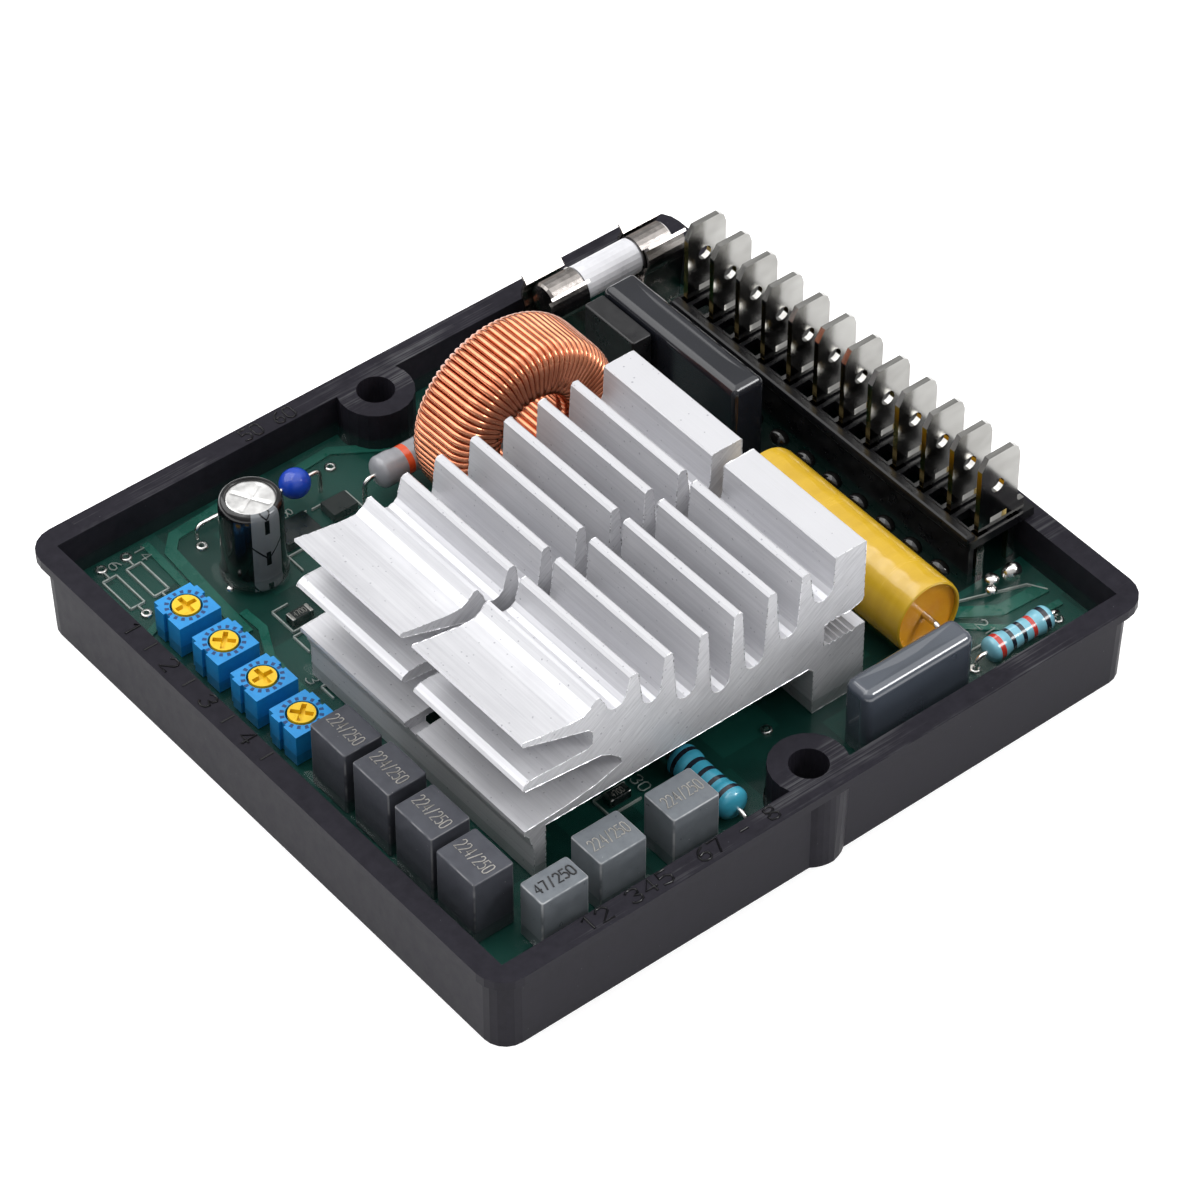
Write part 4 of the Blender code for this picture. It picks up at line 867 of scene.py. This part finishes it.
dress(sleeve_film, place(sleeve, "sleeve", "electrolytic_sleeve"))
angle = once_round(64)
radius = np.linspace(0, 3.3, 24)
r, a = np.meshgrid(radius, angle, indexing="ij")
from_cross = r * np.minimum(abs(np.sin(a - 0.5)), abs(np.cos(a - 0.5)))
groove = 0.14 * np.exp(-(from_cross / 0.18) ** 2)
top = 19.95 - groove * (r < 2.7) - 0.2 * np.clip((r - 3.0) / 0.3, 0, 1) ** 2
lid = np.stack([r * np.cos(a), r * np.sin(a), top], axis=-1)
under = lid[-1:] * [1, 1, 0] + [0, 0, 19.0]
lid = np.concatenate([lid, under, under * [0, 0, 1]]) + np.array(CAN)
can_top = make_mesh("can_top", lid, grid_faces(len(lid), 64), smooth=60)
dress(marked("can_metal", (0.62, 0.615, 0.605), (0.76, 0.755, 0.745), 0.38, 500,
             metallic=1.0, depth=0.01), place(can_top, "can", "electrolytic_can"))
print("sleeve and lid points:", len(sleeve.data.vertices), len(can_top.data.vertices))

# %% [markdown]
# ## Box capacitors and black parts
#
# Film capacitors come in moulded boxes with crisp but rounded edges. Each box is a
# loft of rounded rectangles, and the two large ones have softer shoulders. A loft
# lets the upright corners and the top edge differ, where one bevel could not.

# %% Box capacitors and black parts
# The pale edge colours of the two grey box finishes are a painted highlight along their
# rounded edges.
box_grey = marked("box_grey", (0.040, 0.042, 0.052), (0.053, 0.056, 0.068), 0.42,
                  700, depth=0.005, speck=0.07, speck_colour=(0.18, 0.18, 0.19),
                  highlight_colour=(0.16, 0.16, 0.17), Specular_IOR_Level=0.3)
box_pale = marked("box_pale_grey", (0.105, 0.117, 0.130), (0.135, 0.149, 0.164), 0.38,
                  700, depth=0.005, speck=0.07, speck_colour=(0.30, 0.30, 0.31),
                  highlight_colour=(0.34, 0.35, 0.36), Specular_IOR_Level=0.4)
box_gloss = marked("glossy_slate", (0.045, 0.053, 0.068), (0.056, 0.066, 0.084), 0.16,
                   120, depth=0.006, spread=0.03, detail=1.0, Coat_Weight=0.8,
                   Coat_Roughness=0.05)
dark_gloss = marked("dark_slate", (0.007, 0.008, 0.011), (0.011, 0.012, 0.016), 0.14,
                    120, depth=0.006, spread=0.03, detail=1.0)
part_black = marked("part_black", (0.006, 0.006, 0.007), (0.011, 0.011, 0.012), 0.32,
                    500, depth=0.004, detail=2.0, Specular_IOR_Level=0.4)
GREY_BOXES = [f"box_capacitor_{i}" for i in range(1, 5)]
BOX_FINISHES = {name: ("box", box_grey, 0.35, 0.22) for name in GREY_BOXES}
BOX_FINISHES |= {name: ("box", box_pale, 0.4, 0.25) for name in
                 ("box_capacitor_5", "box_capacitor_6", "small_box_capacitor")}
BOX_FINISHES["front_film_capacitor"] = ("dark_box", box_gloss, 1.2, 1.1)
BOX_FINISHES["rear_film_capacitor"] = ("dark_box", dark_gloss, 0.8, 1.2)
BOX_FINISHES["bridge_rectifier"] = ("black", part_black, 0.35, 0.25)
DISHES = {"front_film_capacitor": 0.25, "rear_film_capacitor": 0.2}
tops = {}
for name, (slot, finish, corner, edge) in BOX_FINISHES.items():
    (x0, y0, z0), (x1, y1, z1) = np.array(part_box(name)) / MM
    tops[name] = (x0, x1, y0, y1, z1)
    box = moulded_box(name.replace("capacitor", "case"), x0, x1, y0, y1, z0, z1,
                      corner=corner, edge=edge, dish=DISHES.get(name, 0.0))
    dress(finish, place(box, slot, name))
dress(part_black, "power_device_front", "power_device_rear")
print("boxes:", len(tops))

# %% [markdown]
# ## Numbers on the boxes
#
# A capacitor's value is stamped on its top in pale ink, or in dark ink on the
# smallest. The tall row reads along Y and the others along X.

# %% Numbers on the boxes
pale_lines, dark_lines = [], []
for name in GREY_BOXES + ["box_capacitor_5", "box_capacitor_6", "small_box_capacitor"]:
    x0, x1, y0, y1, z1 = tops[name]
    middle = ((x0 + x1) / 2, (y0 + y1) / 2)
    if name in GREY_BOXES:
        pale_lines += number_lines("224/250", middle, -LEFT_UP, RIGHT_UP, 0.80 * (y1 - y0),
                                   1.7, z1 + 0.02, 0.075)
    elif name == "small_box_capacitor":
        dark_lines += number_lines("47/250", middle, RIGHT_UP, LEFT_UP, 0.80 * (x1 - x0),
                                   1.5, z1 + 0.02, 0.12)
    else:
        pale_lines += number_lines("224/250", middle, RIGHT_UP, LEFT_UP, 0.78 * (x1 - x0),
                                   1.7, z1 + 0.02, 0.085)
pale_ink = marked("pale_ink", (0.22, 0.21, 0.19), (0.42, 0.40, 0.37), 0.6, 900)
dark_ink = marked("dark_ink", (0.008, 0.008, 0.009), (0.02, 0.02, 0.022), 0.5, 900)
dress(pale_ink, place(join_grids("pale_numbers", pale_lines), "box"))
dress(dark_ink, place(join_grids("dark_numbers", dark_lines), "box"))
print("printed strokes:", len(pale_lines) + len(dark_lines))

# %% [markdown]
# ## Chips
#
# A chip resistor is a black film on a ceramic slab with a tinned cap over each end;
# the two larger chips are moulded diodes. Each is a small moulded box, and the caps
# of the resistors are boxes a little larger, carried over their ends.

# %% Chips
CAP = 0.55
caps, chip_lines = [], []
for i in range(1, 7):
    (x0, y0, z0), (x1, y1, z1) = np.array(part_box(f"chip_{i}")) / MM
    body = moulded_box(f"chip_body_{i}", x0, x1, y0, y1, z0, z1, corner=0.15, edge=0.12)
    dress(part_black, place(body, "black", f"chip_{i}"))
    if i > 2:
        tall = y1 - y0 > x1 - x0
        for end in (0, 1):
            low = (y0, y1 - CAP)[end] if tall else (x0, x1 - CAP)[end]
            span = (x0, x1, low, low + CAP) if tall else (low, low + CAP, y0, y1)
            caps.append(box_points(*span, z0, z1 + 0.02, corner=0.15, edge=0.12))
        if not tall:
            chip_lines += number_lines("4700", ((x0 + x1) / 2, (y0 + y1) / 2), RIGHT_UP,
                                       LEFT_UP, 1.7, 0.85, z1, 0.05)
tin_cap = marked("tinned_cap", (0.35, 0.34, 0.32), (0.55, 0.54, 0.52), 0.3, 900,
                 metallic=1.0)
dress(tin_cap, place(join_grids("chip_caps", caps), "tin"))
dress(pale_ink, place(join_grids("chip_numbers", chip_lines), "black"))
print("chip caps:", len(caps))

# %% [markdown]
# ## Trimmers
#
# The blue trimmers carry a ring of dark ticks round a yellow rotor. One material
# serves all four: the Y coordinate is wrapped by their pitch, so each sees the same
# small field, and the ticks are where the cosine of sixteen times the angle is high.

# %% Trimmers
TRIMMER_X, TICKS = -41.0, 16
trimmer_blue, tree, shader = new_material("trimmer_blue", 0.35)
spot = axes(tree, object_place(tree))
x = calc(tree, "SUBTRACT", spot["X"], TRIMMER_X * MM)
y = calc(tree, "SUBTRACT", spot["Y"], TRIMMER_FIRST_Y * MM)
y = calc(tree, "WRAP", y, TRIMMER_PITCH / 2 * MM, -TRIMMER_PITCH / 2 * MM)
turn = calc(tree, "MULTIPLY", calc(tree, "ARCTAN2", y, x), TICKS)
tick = calc(tree, "GREATER_THAN", calc(tree, "COSINE", turn), 0.1)
flat = add_node(tree, "ShaderNodeCombineXYZ", {0: x, 1: y})
far = add_node(tree, "ShaderNodeVectorMath", {0: flat.outputs[0]}, operation="LENGTH")
near_ring = calc(tree, "COMPARE", far.outputs["Value"], 2.42 * MM, 0.28 * MM)
tone = fine_marks(tree, 700)
colour = mix_colours(tree, tone, (0.008, 0.200, 0.50), (0.012, 0.245, 0.585))
mask = calc(tree, "MULTIPLY", tick, near_ring)
colour = mix_colours(tree, mask, colour, (0.004, 0.035, 0.13))
feed(tree, shader, colour)
dress(trimmer_blue, *[f"trimmer_body_{i}" for i in range(1, 5)])
dress(marked("rotor_yellow", (0.68, 0.42, 0.006), (0.78, 0.50, 0.010), 0.35, 800,
             depth=0.01), *[f"trimmer_rotor_{i}" for i in range(1, 5)])

# %% [markdown]
# ## Fuse, clips and tabs
#
# Nickel and tin plate are bright and slightly wavy. The tabs are punched from
# plated brass sheet, so their cut edges show bare brass low down: those faces look
# against X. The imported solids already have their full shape, so they are kept.

# %% Fuse, clips and tabs
nickel = marked("nickel_plate", (0.24, 0.222, 0.21), (0.36, 0.335, 0.318), 0.22,
                500, metallic=1.0, depth=0.01, spread=0.06)
dress(nickel, "fuse_cap_left", "fuse_cap_right", "fuse_clip_left", "fuse_clip_right")
ceramic = marked("white_ceramic", (0.50, 0.50, 0.525), (0.58, 0.58, 0.605), 0.35, depth=0.01)
dress(ceramic, "fuse_tube")
tab_metal, tree, shader = new_material("tin_on_brass", 0.2, 1.0)
edge = calc(tree, "LESS_THAN", facing(tree)["X"], -0.9)
low = calc(tree, "LESS_THAN", axes(tree, object_place(tree))["Z"], 24.6 * MM)
tone = fine_marks(tree, (140, 900, 220), in_Detail=2.0)
colour = mix_colours(tree, tone, (0.28, 0.275, 0.262), (0.40, 0.395, 0.38))
colour = mix_colours(tree, calc(tree, "MULTIPLY", edge, low), colour, (0.42, 0.31, 0.11))
feed(tree, shader, colour)
feed(tree, shader, remap(tree, tone, low=0.10, high=0.20), "Roughness")
emboss(tree, shader, tone, 0.3, 0.008)
dress(tab_metal, *[f"terminal_tab_{i}" for i in range(1, 13)])

# %% [markdown]
# ## The board
#
# The board is green lacquer over copper. Where copper runs under the lacquer it
# looks lighter, so the square-edged cells of a Voronoi pattern stand for the planes.
# Near the terminals the board is painted nearly black, a painted shade for the
# shadow of the strip, its tabs and the yellow capacitor. A pattern is enough here,
# because only its broad blocks show through the clear resin.

# %% The board
board, tree, shader = new_material("green_lacquer", 0.35, Specular_IOR_Level=0.3)
spot = object_place(tree)
planes = add_node(tree, "ShaderNodeTexVoronoi", {"Vector": spot}, in_Scale=95.0,
                  distance="CHEBYCHEV", feature="F1")
plane = calc(tree, "LESS_THAN", planes.outputs["Distance"], 0.42)
plane = mix_colours(tree, plane, (0.0040, 0.030, 0.024), (0.0080, 0.062, 0.048))
tone = fine_marks(tree, 900)
grain = mix_colours(tree, tone, (0.0050, 0.040, 0.032), (0.0085, 0.066, 0.052))
soft = add_node(tree, "ShaderNodeMix", {6: plane, 7: grain}, data_type="RGBA", in_0=0.3)
spot = axes(tree, spot)
# Painted shade: near the terminal strip the board is set nearly black, for the shadow of the
# strip, its tabs and the yellow capacitor.
painted_shade_by_strip = calc(tree, "MULTIPLY", calc(tree, "COMPARE", spot["X"], 41.5 * MM, 9.5 * MM),
                calc(tree, "COMPARE", spot["Y"], 3.5 * MM, 31.0 * MM))
colour = mix_colours(tree, painted_shade_by_strip, soft.outputs[2], (0.0018, 0.0035, 0.0035))
feed(tree, shader, colour)
dress(board, "circuit_board")

# %% [markdown]
# ## Copper, print and solder on the board
#
# Copper under the lacquer stands a little proud and looks lighter: wide lanes are
# ribbons along a path. White print outlines the places of parts, and solder holds
# each lead in a ring round its hole. All of it lies under the resin. The lanes that
# stand out in the photo are real strips, so that their edges stay crisp.

# %% Copper, print and solder on the board
PRINT_TOP = BOARD_TOP + 0.36
lanes = [ribbon_points(path, width, BOARD_TOP, BOARD_TOP + 0.33) for path, width in (
    ([(-35.4, 22.0), (-34.9, 31.0), (-34.3, 39.6), (-32.4, 41.6), (-24.6, 42.2)], 1.7),
    ([(-45.6, 29.2), (-40.0, 31.2), (-36.4, 33.6), (-36.0, 42.8)], 1.1),
    ([(-33.6, 25.4), (-33.4, 21.5), (-35.6, 17.0), (-36.0, 11.0), (-36.0, 4.0)], 1.2),
    ([(-14.0, 41.5), (-8.0, 41.9), (-1.5, 37.5)], 1.4),
    ([(33.2, -29.2), (39.0, -33.2), (46.0, -33.6)], 1.9),
    ([(32.4, -31.4), (37.8, -36.2), (45.8, -36.8)], 1.0),
    ([(-30.0, -32.5), (-22.0, -34.8), (-11.0, -35.2)], 1.2),
    ([(1.0, -34.2), (7.0, -39.6), (8.0, -43.0)], 1.4))]
lane_green = marked("copper_lane", (0.010, 0.095, 0.068), (0.016, 0.130, 0.095), 0.3,
                    300, Specular_IOR_Level=0.3)
dress(lane_green, place(join_grids("copper_lanes", lanes), "board"))
strokes = [
    [(-40.5, 34.4), (-38.3, 34.4), (-38.3, 40.4), (-40.5, 40.4), (-40.5, 34.4)],
    [(-44.1, 34.4), (-42.0, 34.4), (-42.0, 40.4), (-44.1, 40.4), (-44.1, 34.4)],
    [(-39.3, 40.4), (-39.3, 41.5)], [(-43.0, 40.4), (-43.0, 41.6)],
    [(-43.1, 34.4), (-43.0, 33.0)], [(-39.4, 34.4), (-39.4, 33.4)],
    [(-28.5, 23.0), (-30.9, 23.0), (-30.9, 18.6), (-28.6, 18.6)],
    [(-28.8, 17.9), (-31.4, 17.9), (-31.4, 14.6)],
    [(-32.6, 8.9), (-33.9, 8.9), (-33.9, 6.4)],
    [(-23.5, 31.2), (-23.5, 26.5)], [(-23.5, 29.6), (-16.8, 29.6)],
    [(-23.5, 34.8), (-16.8, 34.8)], [(-16.1, 34.6), (-10.8, 34.6), (-10.8, 30.2)],
    [(31.2, -24.2), (31.2, -27.0), (44.6, -31.9), (46.0, -34.2)],
    [(34.6, -36.2), (30.2, -36.2)], [(34.6, -41.2), (43.0, -41.2)],
    [(-20.2, -26.6), (-15.4, -26.6)], [(-20.2, -26.6), (-20.2, -29.8), (-15.4, -29.8)],
    [(-25.0, -31.4), (-20.2, -31.4)], [(-25.0, -31.4), (-25.0, -34.6), (-20.2, -34.6)],
    [(-33.4, -36.3), (-23.0, -36.3)], [(1.5, -36.0), (6.8, -36.0)]]
outlines = [pair for stroke in strokes for pair in zip(stroke[:-1], stroke[1:])]
white = [ribbon_points(path, 0.2, BOARD_TOP, PRINT_TOP) for path in outlines]
for text, middle in (("14", (-37.2, 41.6)), ("6", (-41.2, 41.9)), ("21", (35.6, -34.3)),
                     ("3", (-34.0, 10.6)), ("30", (-14.0, -27.9)), ("8", (-19.0, 36.0))):
    white += number_lines(text, middle, -LEFT_UP, RIGHT_UP, 1.25 * len(text), 1.5,
                          PRINT_TOP - 0.08, 0.09)
screen_white = marked("screen_print", (0.30, 0.34, 0.32), (0.46, 0.50, 0.47), 0.5,
                      900)
dress(screen_white, place(join_grids("board_print", white), "board"))
angle = once_round(24)
ring_r, ring_z = np.array([(0.32, 7.2), (0.82, 7.2), (0.80, 7.5), (0.60, 7.66), (0.36, 7.6),
                           (0.32, 7.2)]).T
rings = [np.stack([x + ring_r[:, None] * np.cos(angle), y + ring_r[:, None] * np.sin(angle),
                   np.repeat(ring_z[:, None], len(angle), axis=1)], axis=-1)
         for x, y in ((-39.2, 42.3), (-42.9, 42.4), (-30.7, 38.0), (43.5, -38.8), (-9.6, 39.4),
                      (-43.0, 32.6), (-39.4, 32.9), (3.4, -30.6), (29.8, -38.8))]
dress(tin, place(join_grids("solder_rings", rings), "tin"))
print("lanes, lines, rings:", len(lanes), len(white), len(rings))

# %% [markdown]
# ## Solder by the terminals
#
# Every tab's inner leg ends in a mound of solder by the wall: a row of glossy domes,
# coloured black as painted shade under the strip. A bare bright mound and its pad
# stand at the front.
# A dome is a quarter ellipse turned about its own axis.

# %% Solder by the terminals
TAB_PITCH = 5.08
rise = np.linspace(0, np.pi / 2, 9)


def dome_points(x, y, z, radius, high, stretch=1.0):
    """Rows at radius * cos and high * sin of a rising angle, closed below."""
    flat = np.concatenate([[0], radius * np.cos(rise)])
    level = z + np.concatenate([[0], high * np.sin(rise)])
    return np.stack([x + flat[:, None] * np.cos(angle),
                     y + stretch * flat[:, None] * np.sin(angle),
                     np.repeat(level[:, None], len(angle), axis=1)], axis=-1)


# These mounds are coloured black as painted shade; their gloss still catches real highlights.
mounds = [dome_points(36.9, 26.7 - TAB_PITCH * k, 8.9, 1.15, 1.25, 1.35) for k in range(11)]
mounds += [dome_points(35.0, 24.2 - TAB_PITCH * k, 8.9, 0.8, 0.8) for k in range(10)]
black_gloss = marked("painted_shade_black", (0.003, 0.003, 0.003), (0.006, 0.006, 0.006), 0.07,
                     200, spread=0.03, depth=0.01)
dress(black_gloss, place(join_grids("drowned_solder", mounds), "black"))
bright = [dome_points(43.4, -30.3, 8.9, 1.5, 1.6, 0.8),
          dome_points(40.7, -29.6, 8.9, 1.0, 0.8), dome_points(39.4, -31.0, 8.9, 0.8, 0.7),
          dome_points(-33.4, 28.2, 9.0, 0.5, 0.5)]
dress(tin, place(join_grids("bright_solder", bright), "tin"))
bent_lead("can_lead", (-26.4, 39.1, 9.9), (-1, 0, 0), 4.2, 0.3)
print("mounds:", len(mounds) + len(bright))

# %% [markdown]
# ## Clear resin
#
# The resin was poured over the board and crept up everything that stands in it.
# Its surface is a height over a grid: the level, plus at each part a rim that
# falls off with the distance from the part, rise * exp(-(distance / reach) ** power).
# One sheet was chosen over a solid block, because light then crosses it only once.

# %% Clear resin
STEP = 0.3
WALL_X, WALL_Y, BOSS_Y, BOSS_RADIUS = 47.6, 44.0, 42.2, 5.15
grid_x = np.arange(-WALL_X, WALL_X + 0.01, STEP)
grid_y = np.arange(-WALL_Y, WALL_Y + 0.01, STEP)
gx, gy = np.meshgrid(grid_x, grid_y, indexing="ij")
feet = [top[:4] for top in tops.values()]
feet += [(-33.4, -31.7, -32.0, 11.3), (9.4, 17.4, -32.0, 11.3)]  # the heatsink's legs
feet += [(-3.0, 13.2, 14.6, 25.4), (22.9, 31.3, -33.0, -2.0)]  # choke, yellow capacitor
feet += [(23.8, 30.0, 36.8, 41.6), (39.8, 46.0, 36.8, 41.6)]  # the fuse's clips
rise = np.zeros_like(gx)
for x0, x1, y0, y1 in feet:
    apart = np.hypot(np.maximum(np.maximum(x0 - gx, gx - x1), 0),
                     np.maximum(np.maximum(y0 - gy, gy - y1), 0))
    rise = np.maximum(rise, 0.30 * np.exp(-(apart / 1.0) ** 1.5))
can_apart = np.maximum(np.hypot(gx - CAN[0], gy - CAN[1]) - CAN_FOOT, 0)
rise = np.maximum(rise, 0.35 * np.exp(-(can_apart / 1.1) ** 1.5))
wall_apart = np.minimum(WALL_X - abs(gx), WALL_Y - abs(gy))
boss_apart = np.hypot(gx, abs(gy) - BOSS_Y) - BOSS_RADIUS
wall_apart = np.minimum(wall_apart, np.maximum(boss_apart, 0))
rise = np.maximum(rise, 0.35 * np.exp(-(wall_apart / 1.8) ** 1.4))
wave = 0.05 * np.sin(gx / 5.3) * np.cos(gy / 6.1 + 1.0)
points = np.stack([gx, gy, RESIN_TOP - 0.2 + rise + wave], axis=-1)
faces = grid_faces(len(grid_x), len(grid_y), wrap=False)
keep = boss_apart.reshape(-1)[faces].min(axis=1) > 0
resin = make_mesh("resin_surface", points, faces[keep][:, ::-1], closed=False, smooth=180)
clear, tree, shader = new_material("clear_resin", 0.08, IOR=1.5, Alpha=0.22)
shader.inputs["Base Color"].default_value = (0.003, 0.022, 0.017, 1)
dress(clear, place(resin, "resin", "clear_resin"))
print("resin points:", points.size // 3)
